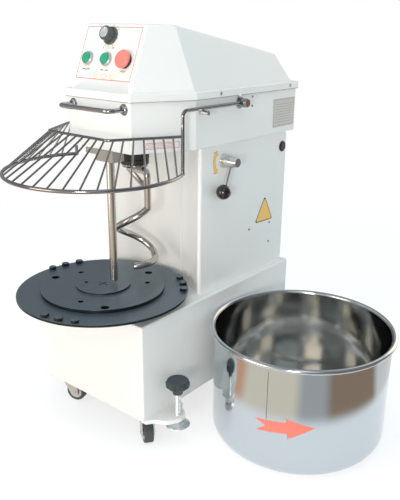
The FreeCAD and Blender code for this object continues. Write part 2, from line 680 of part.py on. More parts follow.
def make_column():
    """A folded column whose front is hollowed round the bowl, with rounded rear top corners."""
    front = dim("column_front")
    recess, recess_low, recess_high = dim("column_recess"), TOP - 10, COL_TOP - TOP + 20
    edge_y = math.sqrt(num("column_recess") ** 2 - num("column_half") ** 2)
    outer_box = box("column_outer", (-COL, front, TOP), (COL, REAR, COL_TOP))
    outer = cut("column_front_cut", outer_box,
                cylinder("column_recess_tool", recess, recess_high, (0, 0, recess_low)))

    def near_y(edge, y):
        return abs(edge.Vertexes[0].Point.y - y) < 0.1

    outer = rounded("column_front_round", outer, num("corner_round"),
                    lambda edge: is_upright(edge) and near_y(edge, edge_y))
    outer = rounded("column_rear_round", outer, num("corner_round"),
                    lambda edge: is_upright(edge) and near_y(edge, num("base_rear")))
    behind_pivot = num("base_rear") - num("pivot_y")
    profile = box("column_profile", (-COL - 10, 0, TOP - 1), (COL + 10, REAR, COL_TOP))
    profile = rounded("column_top_round", profile, behind_pivot, lambda edge: at_height(
        edge, COL_TOP.value) and edge.CenterOfMass.y > num("base_rear") - 0.5)
    outer = common("column_outline", outer, profile)
    side = COL - SKIN
    inner_box = box("column_inner", (-side, front, TOP - 1), (side, REAR - SKIN, COL_TOP + 5))
    inner = cut("column_inner_cut", inner_box,
                cylinder("column_inner_tool", recess + SKIN, recess_high, (0, 0, recess_low)))
    inner_edge_y = math.sqrt((num("column_recess") + num("skin")) ** 2 - side.value ** 2)
    inner = rounded("column_inner_round", inner, num("corner_round") - num("skin"),
                    lambda edge: is_upright(edge) and near_y(edge, inner_edge_y))
    gap, lap = dim("rear_gap_half"), dim("service_lap")
    rear_gap = box("column_rear_gap", (-gap, REAR - behind_pivot - 5, dim("service_top") + 2),
                   (gap, REAR + 5, COL_TOP + 5))
    door, service_low = dim("service_half"), TOP + dim("service_over_base")
    service = box("column_service", (-door, REAR - SKIN - 1, service_low),
                  (door, REAR + 1, dim("service_top") - lap - 5))
    axle = cylinder("column_axle_hole", dim("axle_radius"), COL * 3,
                    (-COL * 1.5, dim("pivot_y"), dim("pivot_z")), "x")
    lever = cylinder("column_lever_hole", dim("lever_spindle") + dim("lever_slack"),
                     SKIN * 4, (COL - SKIN * 2, dim("lever_y"), dim("lever_z")), "x")
    skin = cut("column_cut", outer, inner, rear_gap, service, axle, lever)
    pad_x, pad_y, pad_r = num("pad_x"), dim("pad_y"), dim("pad_radius")
    pad_low = COL_TOP - dim("pad_seat")
    shelf_half = dim("shelf_depth") / 2
    shelf = box("column_shelf", (-side, pad_y - shelf_half, pad_low - dim("shelf_thick")),
                (side, pad_y + shelf_half, pad_low))
    node(fuse("column_fuse", [skin, shelf]), "column_housing")

    pads = [cylinder(f"pad{i}", pad_r, dim("head_bottom") - pad_low, (x, pad_y, pad_low))
            for i, x in enumerate((-pad_x, pad_x))]
    node(group("rest_pads", pads), "head_rest_pads")

    thick = dim("service_thick")
    plate = box("rear_plate", (-door - lap, REAR, service_low - lap),
                (door + lap, REAR + thick, dim("service_top")))
    slots = []
    for i in range(7):
        vent_low = service_low + dim("vent_over_service") + dim("vent_pitch") * i
        slots.append(box(f"vent{i}", (-dim("vent_wide"), REAR - 1, vent_low),
                         (dim("vent_wide"), REAR + thick + 1, vent_low + dim("vent_pitch") * 0.3)))
    node(cut("rear_plate_cut", plate, *slots), "column_rear_cover")


def make_gland():
    """A cable gland: thread through the rear wall, hexagon collar and tapered nose."""
    nut, nose_length = dim("gland_nut_thick"), dim("gland_nose")
    thread_low = -SKIN - 1.5
    thread = cylinder("gland_screw", dim("gland_thread"), -thread_low + 1, (0, thread_low, 0), "y")
    collar = doc.addObject("Part::Prism", "gland_collar")
    collar.Polygon = 6
    collar.Circumradius = bind(collar, "Circumradius", dim("gland_nut"))
    collar.Height = bind(collar, "Height", nut)
    place(collar, 0, 0, 0, ALONG["y"])
    nose = cone("gland_nose_body", dim("gland_nose"), dim("gland_tip"), nose_length,
                (0, nut, 0), "y")
    bore = cylinder("gland_bore_tool", dim("gland_bore"), nut + nose_length + 10,
                    (0, thread_low - 1, 0), "y")
    gland = cut("gland_cut", fuse("gland_solid", [thread, collar, nose]), bore)
    node(gland, "power_gland", dim("gland_x"), REAR, BOTTOM + dim("gland_height"))


def make_pivot():
    node(cylinder("pivot_bar", dim("axle_radius"), COL + COL), "pivot_axle",
         -COL, dim("pivot_y"), dim("pivot_z"), ALONG["x"])
    rim, thick = dim("plug_radius"), dim("plug_thick")
    plug = turned("plug_body", [
        (0, 0), (rim, 0), (rim, thick / 2), (rim * 0.75, thick), (0, thick),
    ])
    place(plug, COL, 0, 0, ALONG["x"])
    pair = group("plug_pair", [plug, mirrored("plug_left", plug)])
    node(pair, "pivot_plugs", 0, dim("pivot_y"), dim("pivot_z"))


# ---------------------------------------------------------------- head

HEAD_FLOOR = dim("head_bottom")
LIP_LOW, LIP_TOP = dim("lip_bottom"), dim("lip_top")
WALL_TOP = LIP_LOW + 4


def head_plan(inset):
    """The head's six-sided plan, drawn in by a distance."""
    run = num("head_side_half") - num("head_front_half")
    rise = num("head_shoulder") - num("head_front")
    slant = math.hypot(run, rise)
    front_factor = (slant - run) / rise
    shoulder_factor = (slant - rise) / run
    inset = size_of(inset)
    front_x = dim("head_front_half") - inset * front_factor
    front_y = dim("head_front") + inset
    side_x = dim("head_side_half") - inset
    side_y = dim("head_shoulder") + inset * shoulder_factor
    rear_y = dim("head_rear") - inset
    return [(-front_x, front_y), (front_x, front_y), (side_x, side_y), (side_x, rear_y),
            (-side_x, rear_y), (-side_x, side_y)]


def make_head_housing():
    """The head's lower tray: folded walls on a thick floor that carries the spindle."""
    shell = extruded("head_shell", head_plan(0), HEAD_FLOOR, WALL_TOP)
    softened(shell, dim("corner_round"), is_upright)
    softened(shell, 2, lambda edge: at_height(edge, num("head_bottom")))
    hollow = extruded("head_hollow", head_plan(SKIN), HEAD_FLOOR + dim("floor_thick"),
                      WALL_TOP + 1)
    hole = cylinder("head_spindle_hole", dim("housing_radius"), 20,
                    (dim("spindle_x"), dim("spindle_y"), HEAD_FLOOR - 5))
    node(cut("head_cut", shell, hollow, hole), "head_housing")


def faceted_block(name, inset):
    """The cover's upper part: leaning facets under a top that falls away to the back."""
    half, foot = dim("cover_half") - inset, dim("cover_foot") + inset
    side, rear = dim("cover_side") - inset, dim("cover_rear") - inset
    shoulder = dim("head_shoulder") + inset * 0.3
    crest, crest_y = dim("cover_top"), dim("cover_crest") + inset
    tail_half, tail = dim("cover_tail_half") - inset, dim("cover_tail") - inset
    slant = (dim("cover_side") - dim("cover_half")) / (dim("head_shoulder") - dim("cover_foot"))
    crest_shoulder = crest_y + (tail_half - half) / slant

    def ring(half_x, front_y, side_x, side_y, rear_y):
        return [(-half_x, front_y), (half_x, front_y), (side_x, side_y), (side_x, rear_y),
                (-side_x, rear_y), (-side_x, side_y)]

    body = doc.addObject("PartDesign::Body", name)
    low = polygon_sketch(body, "XY_Plane", ring(half, foot, side, shoulder, rear), LIP_TOP)
    high = polygon_sketch(body, "XY_Plane", ring(half, crest_y, tail_half, crest_shoulder, tail),
                          crest)
    loft = body.newObject("PartDesign::AdditiveLoft", name + "_loft")
    loft.Profile = low
    loft.Sections = [high]
    loft.Ruled = True
    body.Tip = loft
    doc.recompute()

    start = dim("cover_slope_start")
    run, across = dim("cover_rear"), dim("head_side_half") * 1.3
    drop = (crest - LIP_TOP) * dim("cover_fall") * run / (dim("cover_rear") - start)
    wedge = polygon_sketch(body, "YZ_Plane", [
        (start, crest - inset), (start + run, crest - inset - drop),
        (start + run, crest + 20), (start - run, crest + 20), (start - run, crest - inset),
    ], -across)
    pocket = body.newObject("PartDesign::Pocket", name + "_slope")
    pocket.Profile = wedge
    pocket.Length = bind(pocket, "Length", across * 2)
    pocket.Reversed = True
    body.Tip = pocket
    doc.recompute()
    if pocket.Shape.Volume > loft.Shape.Volume - 1:
        raise RuntimeError("the cover's slope cuts nothing")
    return body


def make_cover():
    """The top cover: a lip over the tray's walls, then the facets, all one moulded shell."""
    top = faceted_block("cover_top_body", 0)
    softened(top, dim("corner_round") - 1,
             lambda edge: edge.BoundBox.ZMax > num("lip_top") + 1)
    lip = extruded("cover_lip", head_plan(-dim("lip_over")), LIP_LOW, LIP_TOP)
    softened(lip, dim("corner_round"), is_upright)
    softened(lip, 2, lambda edge: at_height(edge, num("lip_top")))
    skirt = extruded("cover_skirt", head_plan(-0.5), LIP_LOW - 1, WALL_TOP)
    hollow_low = extruded("cover_hollow_low", head_plan(SKIN + 6), LIP_LOW, LIP_TOP + 0.5)
    hollow_top = faceted_block("cover_hollow_top", 3)
    tools = [skirt, hollow_low, hollow_top]
    tools += panel_holes()
    node(cut("cover_cut", fuse("cover_solid", [top, lip]), *tools), "head_cover")


# The front facet leans back; the panel's pieces are drawn flat and then laid on it.
LEAN = math.degrees(math.atan2(num("cover_crest") - num("cover_foot"),
                               num("cover_top") - num("lip_top")))
ON_FACET = Rotation(Vector(1, 0, 0), 90 - LEAN)
BUTTONS = (("fast_button", -1), ("slow_button", 0), ("stop_button", 1))
BUTTON = dim("button_radius")
PANEL = dim("panel_thick")
TIMER_STEM = dim("timer_stem")


def on_facet(x, up, out=0):
    """A point of the leaning front facet, in machine axes."""
    local = ON_FACET.multVec(Vector(x, up, out))
    return Vector(local.x, num("cover_foot") + local.y, num("lip_top") + local.z)


def button_x(place_in_row):
    return num("button_spacing") * place_in_row


def panel_holes():
    """Holes through the front facet for the button stems and the timer's spindle."""
    holes, reach = [], dim("panel_hole_reach")
    for label, where in BUTTONS:
        hole = cylinder(label + "_hole", BUTTON + dim("hole_slack"), reach)
        start = on_facet(button_x(where), num("button_row"), -reach.value / 2)
        hole.Placement = Placement(start, ON_FACET)
        holes.append(hole)
    timer = cylinder("timer_hole", TIMER_STEM + 0.5, reach)
    timer.Placement = Placement(on_facet(num("timer_x"), num("timer_row"), -reach.value / 2),
                                ON_FACET)
    return holes + [timer]


def facet_node(item, label, x=0, up=0):
    """A finished piece that stands on the front facet."""
    spot = on_facet(x, up)
    return node(item, label, spot.x, spot.y, spot.z, ON_FACET)


def make_panel():
    plate = box("panel_plate", (-dim("panel_half"), dim("panel_low"), 0),
                (dim("panel_half"), dim("panel_high"), PANEL))
    holes = [cylinder(label + "_panel_hole", BUTTON + dim("hole_slack"), PANEL + 3,
                      (dim("button_spacing") * where, dim("button_row"), -1))
             for label, where in BUTTONS]
    holes.append(cylinder("timer_panel_hole", TIMER_STEM + 0.5, PANEL + 3,
                          (dim("timer_x"), dim("timer_row"), -1)))
    facet_node(cut("panel_cut", plate, *holes), "control_panel")

    bezel_top = PANEL + 7
    bezels = []
    for where in (-1, 0):
        ring = turned(f"bezel{where + 1}", [
            (BUTTON + 0.1, PANEL), (dim("bezel_radius"), PANEL),
            (dim("bezel_radius"), bezel_top - 2), (dim("bezel_radius") - 2, bezel_top),
            (BUTTON + 0.1, bezel_top),
        ])
        bezels.append(place(ring, dim("button_spacing") * where, 0, 0))
    facet_node(group("bezel_pair", bezels), "button_bezels", 0, num("button_row"))

    collar_top = PANEL + 5
    collar = turned("stop_collar_body", [
        (BUTTON + 0.1, PANEL), (dim("bezel_radius") + 2, PANEL),
        (dim("bezel_radius") + 2, collar_top), (BUTTON + 0.1, collar_top),
    ])
    facet_node(collar, "stop_button_collar", button_x(1), num("button_row"))

    stem_low = -8
    face = PANEL + 10.5
    for label, where in BUTTONS[:2]:
        cap = turned(label + "_body", [
            (0, stem_low), (BUTTON, stem_low), (BUTTON, face - 1), (BUTTON - 1, face),
            (0, face),
        ])
        facet_node(cap, label, button_x(where), num("button_row"))
    under = collar_top + dim("press") + 0.3
    mushroom = dim("mushroom_radius")
    stop = turned("stop_button_body", [
        (0, stem_low), (BUTTON, stem_low), (BUTTON, under), (mushroom, under),
        (mushroom, under + 5), (mushroom - 3, under + 8), (0, under + 9.5),
    ])
    facet_node(stop, "stop_button", button_x(1), num("button_row"))

    flange, grip, top = dim("timer_flange"), dim("timer_grip"), dim("timer_height")
    knob = turned("timer_body", [
        (0, stem_low - 2), (TIMER_STEM, stem_low - 2), (TIMER_STEM, PANEL + 0.6),
        (flange, PANEL + 0.6), (flange, PANEL + 4), (grip, PANEL + 5), (grip - 0.5, top - 2),
        (grip - 2, top), (0, top),
    ])
    groove_low, groove_spot = PANEL + 5, num("timer_grip") - 0.1
    grips = [cylinder(f"timer_grip{i}", 1.6, top - groove_low - 2, (
        groove_spot * math.cos(math.radians(20 * i)),
        groove_spot * math.sin(math.radians(20 * i)), groove_low)) for i in range(18)]
    facet_node(cut("timer_cut", knob, *grips), "timer_knob", num("timer_x"), num("timer_row"))


def make_head_fittings():
    """Handle, cover screws, hinge arms and the guard's bosses and stop pegs."""
    half, z = num("handle_half"), num("handle_z")
    wall = num("head_front")
    reach = wall - num("handle_reach")
    bar = wire_rod("handle_bar_body", [(-half, wall, z), (-half, reach, z), (half, reach, z),
                                       (half, wall, z)], num("handle_radius"),
                   num("handle_bend"))
    rose, rose_thick = dim("handle_rose"), dim("handle_rose_thick")
    roses = [cone(f"handle_rose{i}", rose * 0.67, rose, rose_thick, (x, wall - rose_thick, z),
                  "y") for i, x in enumerate((-half, half))]
    node(fuse("handle_fuse", [bar] + roses), "head_handle")

    screws = []
    side = dim("head_side_half") + dim("lip_over")
    screw_z = (LIP_LOW + LIP_TOP) / 2
    for i, y in enumerate((dim("lip_screw_front"), dim("lip_screw_rear"))):
        screws.append(cylinder(f"lip_screw{i}", dim("lip_screw"), dim("screw_head"),
                               (side, y, screw_z), "x"))
    for i in range(2):
        spot = LIP_LOW - dim("side_screw_drop") - dim("side_screw_pitch") * i
        screws.append(cylinder(f"side_screw{i}", dim("side_screw"), dim("screw_head"),
                               (dim("head_side_half"), dim("side_screw_y"), spot), "x"))
    left = [mirrored(f"{screw.Name}_left", screw) for screw in screws]
    node(group("screw_group", screws + left), "cover_screws")

    y, z = dim("pivot_y"), dim("pivot_z")
    boss = dim("axle_radius") + dim("arm_eye_wall")
    inner, thick, reach = dim("arm_inner"), dim("arm_thick"), dim("arm_reach")
    cheek = extruded("arm_plate", [
        (y - reach, HEAD_FLOOR), (y + boss, HEAD_FLOOR), (y + boss, z), (y - boss, z),
        (y - reach, HEAD_FLOOR - reach / 4),
    ], inner, inner + thick, "YZ_Plane")
    eye = cylinder("arm_eye", boss, thick, (inner, y, z), "x")
    bore = cylinder("arm_bore", dim("axle_radius") + dim("running_gap"), thick + 2,
                    (inner - 1, y, z), "x")
    arm = cut("arm_right", fuse("arm_solid", [cheek, eye]), bore)
    node(group("arm_pair", [arm, mirrored("arm_left", arm)]), "head_hinge_arms")

    side, gy, gz = dim("head_side_half"), dim("guard_pivot_y"), dim("guard_pivot_z")
    flange_thick, hub = dim("boss_flange_thick"), dim("hub_length") + dim("hub_gap") * 2
    flange = cylinder("boss_flange", dim("boss_flange"), flange_thick, (side, gy, gz), "x")
    pin = cylinder("boss_pin", dim("hub_pin"), flange_thick + hub, (side, gy, gz), "x")
    cap = cylinder("boss_cap", dim("hub_radius") - 0.5, dim("boss_cap_thick"),
                   (side + flange_thick + hub, gy, gz), "x")
    peg_z = gz - dim("guard_wire") - dim("peg_radius") - dim("peg_gap")
    peg = cylinder("stop_peg", dim("peg_radius"), dim("peg_length"), (side, dim("peg_y"), peg_z),
                   "x")
    boss_right = fuse("boss_right", [flange, pin, cap])
    pieces = [boss_right, peg]
    pieces += [mirrored("boss_left", boss_right), mirrored("peg_left", peg)]
    node(group("guard_mounts", pieces), "guard_bosses")


# ---------------------------------------------------------------- spindle, hook, breaker bar

SPX, SPY = dim("spindle_x"), dim("spindle_y")
SPR = dim("spindle_radius")
HOOK_TOP = dim("hook_top")
SPIRAL_PULLEY_LOW = HEAD_FLOOR + dim("floor_thick") + dim("spiral_pulley_over_floor")


def make_spindle():
    outer, bore = dim("housing_radius"), dim("head_bore")
    low = HOOK_TOP + dim("hook_clearance")
    high = SPIRAL_PULLEY_LOW - dim("pulley_clearance")
    floor_top = HEAD_FLOOR + dim("floor_thick")
    flange_top = floor_top + dim("head_flange_thick")
    flange = outer + dim("head_flange")
    housing = turned("spindle_housing_body", [
        (bore, low), (outer, low), (outer, floor_top), (flange, floor_top),
        (flange, flange_top), (outer, flange_top), (outer, high), (bore, high),
    ])
    node(housing, "spindle_housing", SPX, SPY)
    ring_bore, ring = SPR + dim("running_gap"), dim("head_bearing")
    rings = [turned(f"spindle_ring{i}", [
        (ring_bore, z), (bore, z), (bore, z + ring), (ring_bore, z + ring),
    ]) for i, z in enumerate((low + 3, high - ring - 3))]
    node(group("spindle_rings", rings), "spindle_bearings", SPX, SPY)

    top = SPIRAL_PULLEY_LOW + dim("pulley_height") + 4
    hub, disc = HOOK_TOP + dim("spindle_flange_thick"), dim("spindle_flange")
    shaft = turned("spindle_body", [
        (0, HOOK_TOP), (disc, HOOK_TOP), (disc, hub), (SPR, hub), (SPR, top), (0, top),
    ])
    node(shaft, "spindle_shaft", SPX, SPY)
    wheel = make_pulley("spiral_wheel", dim("spiral_pulley_radius"), SPR, SPIRAL_PULLEY_LOW)
    node(wheel, "spiral_pulley", SPX, SPY)


def make_spiral_drive():
    """The hook's motor on a plate across the head, with its drive pulley and belt."""
    motor_y, pulley_low = dim("spiral_motor_y"), SPIRAL_PULLEY_LOW
    plate_low = pulley_low + dim("pulley_height") + dim("spiral_motor_gap")
    plate_top = plate_low + dim("motor_plate_thick")
    inner, reach = dim("head_side_half") - SKIN, dim("motor_plate_half")
    spindle = dim("drive_spindle") - 1
    radius, height = dim("spiral_motor_radius"), dim("spiral_motor_height")
    foot = box("motor_foot_plate", (-inner, motor_y - reach, plate_low),
               (inner, motor_y + reach, plate_top))
    body = turned("spiral_motor_body", [
        (0, plate_top - 2), (radius, plate_top - 2), (radius, plate_top + height * 0.73),
        (radius - 8, plate_top + height), (0, plate_top + height),
    ])
    place(body, 0, motor_y, 0)
    hole = cylinder("motor_shaft_hole", spindle + 3, dim("motor_plate_thick") + 2,
                    (0, motor_y, plate_low - 1))
    motor = fuse("motor_solid", [cut("motor_foot", foot, hole), body])
    node(motor, "spiral_motor")

    shaft_low = pulley_low - dim("spindle_end")
    shaft_top = plate_top - 2 - dim("shaft_gap")
    shaft = cylinder("motor_spindle", spindle, shaft_top - shaft_low, (0, 0, shaft_low))
    wheel = make_pulley("motor_wheel", dim("spiral_motor_pulley"), spindle, pulley_low)
    node(fuse("motor_drive", [shaft, wheel]), "spiral_drive_pulley", 0, motor_y)

    run = Vector(-num("spindle_x"), num("spiral_motor_y") - num("spindle_y"), 0)
    loop = belt("spiral_belt_body", run.Length, num("spiral_pulley_radius"),
                num("spiral_motor_pulley"), belt_floor(SPIRAL_PULLEY_LOW))
    node(loop, "spiral_belt", SPX, SPY, 0, Rotation(Vector(0, 1, 0), run))


def hook_point(angle, z):
    angle = math.radians(angle)
    return Vector(num("hook_radius") * math.cos(angle), num("hook_radius") * math.sin(angle), z)


def coil_points(first, turn, high, low):
    """Points down one stretch of the spiral, which falls clockwise seen from above."""
    steps = max(2, round(turn / 18))
    points = []
    for i in range(1, steps + 1):
        share = i / steps
        points.append(hook_point(first - turn * share, high + (low - high) * share))
    return points


def make_hook():
    """The hook in one bent bar: cross arm, upright leg, the coil and its tail, and a brace."""
    top, bar = num("hook_top"), num("hook_rod")
    plate = dim("hook_plate_thick")
    first = num("hook_start_angle")
    across = Rotation(Vector(0, 0, 1), first)
    arm_z = top - plate.value - bar * 0.8
    leg_end = top - num("hook_leg")
    bend_z = num("table_height") + num("bend_over_table")
    tip_z = num("table_height") + num("tip_over_table")
    knee_turn = num("hook_knee_turn")
    knee_z = leg_end + (bend_z - leg_end) * num("hook_knee") / 255

    inner = across.multVec(Vector(-num("hook_radius") * 0.5, 0, arm_z))
    upper = wire_rod("hook_arm", [inner, hook_point(first, arm_z), hook_point(first, leg_end)],
                     bar, bar * 1.5)
    coil = [hook_point(first, leg_end)]
    coil += coil_points(first, knee_turn, leg_end, knee_z)
    coil += coil_points(first - knee_turn, num("hook_turn") - knee_turn, knee_z, bend_z)
    bend = first - num("hook_turn")
    coil += coil_points(bend, num("hook_tail_turn"), bend_z, tip_z)
    path = Part.BSplineCurve()
    path.interpolate(coil)
    start, heading = path.value(path.FirstParameter), path.tangent(path.FirstParameter)[0]
    section = Part.Wire([Part.makeCircle(bar, start, heading)])
    sweep = Part.Wire([path.toShape()]).makePipeShell([section], True, True)
    mount = cylinder("hook_mount", dim("hook_plate"), plate, (0, 0, HOOK_TOP - plate))
    foot = across.multVec(Vector(-num("hook_radius") * 0.55, 0, arm_z - bar * 0.4))
    brace = rod("hook_brace", dim("brace_rod"), foot,
                hook_point(first, arm_z - num("brace_drop")))
    elbow = ball("hook_elbow", dim("hook_rod") + 0.2, tuple(hook_point(first, leg_end)))
    pieces = [mount, upper, elbow, solid("hook_coil", sweep), brace]
    node(fuse("hook_fuse", pieces), "spiral_hook", SPX, SPY)


def make_breaker_bar():
    x, y = dim("breaker_x"), dim("breaker_y")
    low, high = TABLE + dim("breaker_over_table"), dim("bracket_bottom") + dim("bracket_socket")
    bar = turned("bar_body", [
        (0, low), (dim("breaker_radius") - 1, low), (dim("breaker_radius"), low + 2),
        (dim("breaker_radius"), high), (0, high),
    ])
    node(bar, "breaker_bar", x, y)
    half, depth, tail_end = dim("bracket_half"), dim("bracket_depth"), dim("bracket_tail")
    clamp = box("bracket_block", (-half, -depth, dim("bracket_bottom")),
                (half, depth, HEAD_FLOOR))
    tail = box("bracket_arm", (-tail_end, -depth + 4, HEAD_FLOOR - dim("bracket_tail_thick")),
               (-half + 1, depth - 4, HEAD_FLOOR))
    socket = cylinder("bracket_socket", dim("breaker_radius"), dim("bracket_socket"),
                      (0, 0, dim("bracket_bottom")))
    bracket = cut("bracket_cut", fuse("bracket_solid", [clamp, tail]), socket)
    node(bracket, "breaker_bracket", x, y)


# ---------------------------------------------------------------- guard


def rail_point(along):
    """A point of the guard's three-sided upper rail, measured from its middle."""
    half, front = num("guard_rail_half"), num("guard_rail_front")
    end_x, end_y = num("guard_half"), guard_end_y()
    side = -1 if along < 0 else 1
    beyond = abs(along) - half
    if beyond <= 0:
        return (along, front, num("guard_rail"))
    share = beyond / math.hypot(end_x - half, end_y - front)
    return (side * (half + (end_x - half) * share), front + (end_y - front) * share,
            num("guard_rail"))


def guard_end_y():
    """Where the ring meets the upright rods."""
    reach = math.sqrt(num("guard_radius") ** 2 - num("guard_half") ** 2)
    return num("guard_back") + reach


def between_wires(spoke, wires):
    """The stretch of a spoke that lies between the wires it is welded to."""
    pieces = spoke.cut(wires).Solids
    return max(pieces, key=lambda piece: piece.Volume)


def make_guard():
    """A wire guard: ring, upper rail, side rods and arms, hubs at the head's sides."""
    x, end_y = num("guard_half"), guard_end_y()
    low, rail, top = num("guard_low"), num("guard_rail"), num("guard_pivot_z")
    wire = num("guard_wire")
    arm = wire_rod("guard_arm", [(x, num("guard_pivot_y"), top), (x, end_y, top),
                                 (x, end_y, low)], wire, num("guard_bend"))
    corner = ball("guard_corner", dim("guard_wire") + 0.5, (x, end_y, low))
    hub_start = (dim("head_side_half") + dim("boss_flange_thick") + dim("hub_gap"),
                 dim("guard_pivot_y"), dim("guard_pivot_z"))
    bore_start = (hub_start[0] - 5, hub_start[1], hub_start[2])
    hub_outer = cylinder("guard_hub_outer", dim("hub_radius"), dim("hub_length"), hub_start, "x")
    hub_bore = cylinder("guard_hub_bore", dim("hub_pin") + dim("running_gap"),
                        dim("hub_length") + 10, bore_start, "x")
    side = cut("guard_side", fuse("guard_side_solid", [arm, corner, hub_outer]), hub_bore)
    end_angle = math.degrees(math.asin((end_y - num("guard_back")) / num("guard_radius")))
    ring = doc.addObject("Part::Torus", "guard_ring")
    ring.Radius1 = bind(ring, "Radius1", dim("guard_radius"))
    ring.Radius2 = bind(ring, "Radius2", dim("guard_wire"))
    ring.Angle3 = 180 + 2 * end_angle
    place(ring, 0, dim("guard_back"), dim("guard_low"),
          Rotation(Vector(0, 0, 1), 180 - end_angle))
    half, front = num("guard_rail_half"), num("guard_rail_front")
    upper = wire_rod("guard_upper", [(x, end_y, rail), (half, front, rail), (-half, front, rail),
                                     (-x, end_y, rail)], num("rail_wire"), num("rail_bend"))
    frame = fuse("guard_fuse", [side, mirrored("guard_side_left", side), ring, upper])
    node(frame, "guard_frame")

    doc.recompute()
    wires = frame.Shape.copy()
    wires.Placement = Placement()
    spokes = []
    count = int(num("spoke_side_count"))
    for i in range(-count, count + 1):
        angle = math.radians(-90 + num("spoke_angle") * i)
        foot = (num("guard_radius") * math.cos(angle),
                num("guard_back") + num("guard_radius") * math.sin(angle), low)
        head = rail_point(num("spoke_spacing") * i)
        spoke = Part.makeCylinder(num("spoke_wire"), (Vector(*head) - Vector(*foot)).Length,
                                  Vector(*foot), Vector(*head) - Vector(*foot))
        spokes.append(solid(f"spoke{i + count}", between_wires(spoke, wires)))
    node(group("guard_spoke_set", spokes), "guard_spokes")


# ---------------------------------------------------------------- lock lever


def make_lever():
    """The head lock: tapered hub on a spindle with a cam, a leaning rod and a ball."""
    gap = dim("lever_gap")
    hub = cone("lever_hub_body", dim("lever_hub"), dim("lever_tip"), dim("lever_length") - gap,
               (COL + gap, 0, 0), "x")
    spindle_r, inside = dim("lever_spindle"), dim("lever_inside")
    spindle = cylinder("lever_spindle_body", spindle_r, inside + 1, (COL - inside, 0, 0), "x")
    cam = box("lever_cam", (COL - inside, -spindle_r, 0),
              (COL - inside + dim("cam_thick"), spindle_r, dim("cam_reach")))
    lean = math.radians(num("lever_lean"))
    reach = num("lever_reach")
    rod_x = num("column_half") + num("lever_rod_place")
    end = (rod_x, -reach * math.sin(lean), -reach * math.cos(lean))
    stick = rod("lever_stick", dim("lever_rod_radius"), (rod_x, 0, 0), end)
    grip = ball("lever_grip", dim("lever_ball_radius"), end)
    arm = fuse("lever_arm_fuse", [hub, spindle, cam, stick])
    node(cut("lever_arm_cut", arm, ball("lever_ball_seat", dim("lever_ball_radius"), end)),
         "lever_arm", 0, dim("lever_y"), dim("lever_z"))
    node(group("lever_ball_group", [grip]), "lever_ball", 0, dim("lever_y"), dim("lever_z"))


# ---------------------------------------------------------------- casters and feet

CASTERS = (("front_right", 1, "caster_front", -37), ("front_left", -1, "caster_front", 17),
           ("rear_right", 1, "caster_rear", 28), ("rear_left", -1, "caster_rear", 150))


def make_caster(row, side, depth, heading):
    """A swivel caster: crown and fork with its axle, and a wheel that rolls in it."""
    r, trail, half = dim("wheel_radius"), dim("caster_trail"), dim("wheel_width") / 2
    cheek, side_gap, axle_r = dim("fork_thick"), dim("fork_gap"), dim("wheel_axle")
    cheek_low = half + side_gap
    crown_top = BOTTOM - dim("plate_thick") - dim("caster_gap")
    crown_low = crown_top - dim("crown_thick")
    crown_r = dim("crown_radius")
    fork_half = crown_r - 3
    crown = cylinder(f"crown_{row}", crown_r, dim("crown_thick"), (0, 0, crown_low))
    cheeks = []
    for i, low in enumerate((cheek_low, -cheek_low - cheek)):
        cheeks.append(extruded(f"cheek_{row}{i}", [
            (-fork_half, crown_low), (-fork_half, crown_low - 4), (trail - 9, r - 8),
            (trail + 9, r - 8), (trail + 10, r + 10), (fork_half, crown_low),
        ], low, low + cheek, "XZ_Plane"))
    roof = box(f"roof_{row}", (-fork_half, -cheek_low - cheek, crown_low - cheek),
               (fork_half, cheek_low + cheek, crown_low + 1))
    axle_end = cheek_low + cheek + 2
    axle = cylinder(f"axle_{row}", axle_r, axle_end * 2, (trail, -axle_end, r), "y")
    fork = fuse(f"fork_{row}_fuse", [crown, roof, axle] + cheeks)
    turn = Rotation(Vector(0, 0, 1), heading)
    x, y = dim("caster_x") * side, dim(depth)
    node(fork, f"caster_fork_{row}", x, y, 0, turn)

    bore, hub, disc = axle_r + dim("running_gap"), dim("wheel_hub"), r * 0.74
    wheel = turned(f"wheel_{row}", [
        (bore, -half), (hub, -half), (hub, -half + 2), (disc, -half + 2), (disc + 1, -half),
        (r - 2, -half), (r, -half + 3), (r, half - 3), (r - 2, half), (disc + 1, half),
        (disc, half - 2), (hub, half - 2), (hub, half), (bore, half),
    ])
    spot = turn.multVec(Vector(num("caster_trail"), 0, 0))
    node(wheel, f"caster_wheel_{row}", x + spot.x, y + spot.y, r,
         turn.multiply(ALONG["y"]))


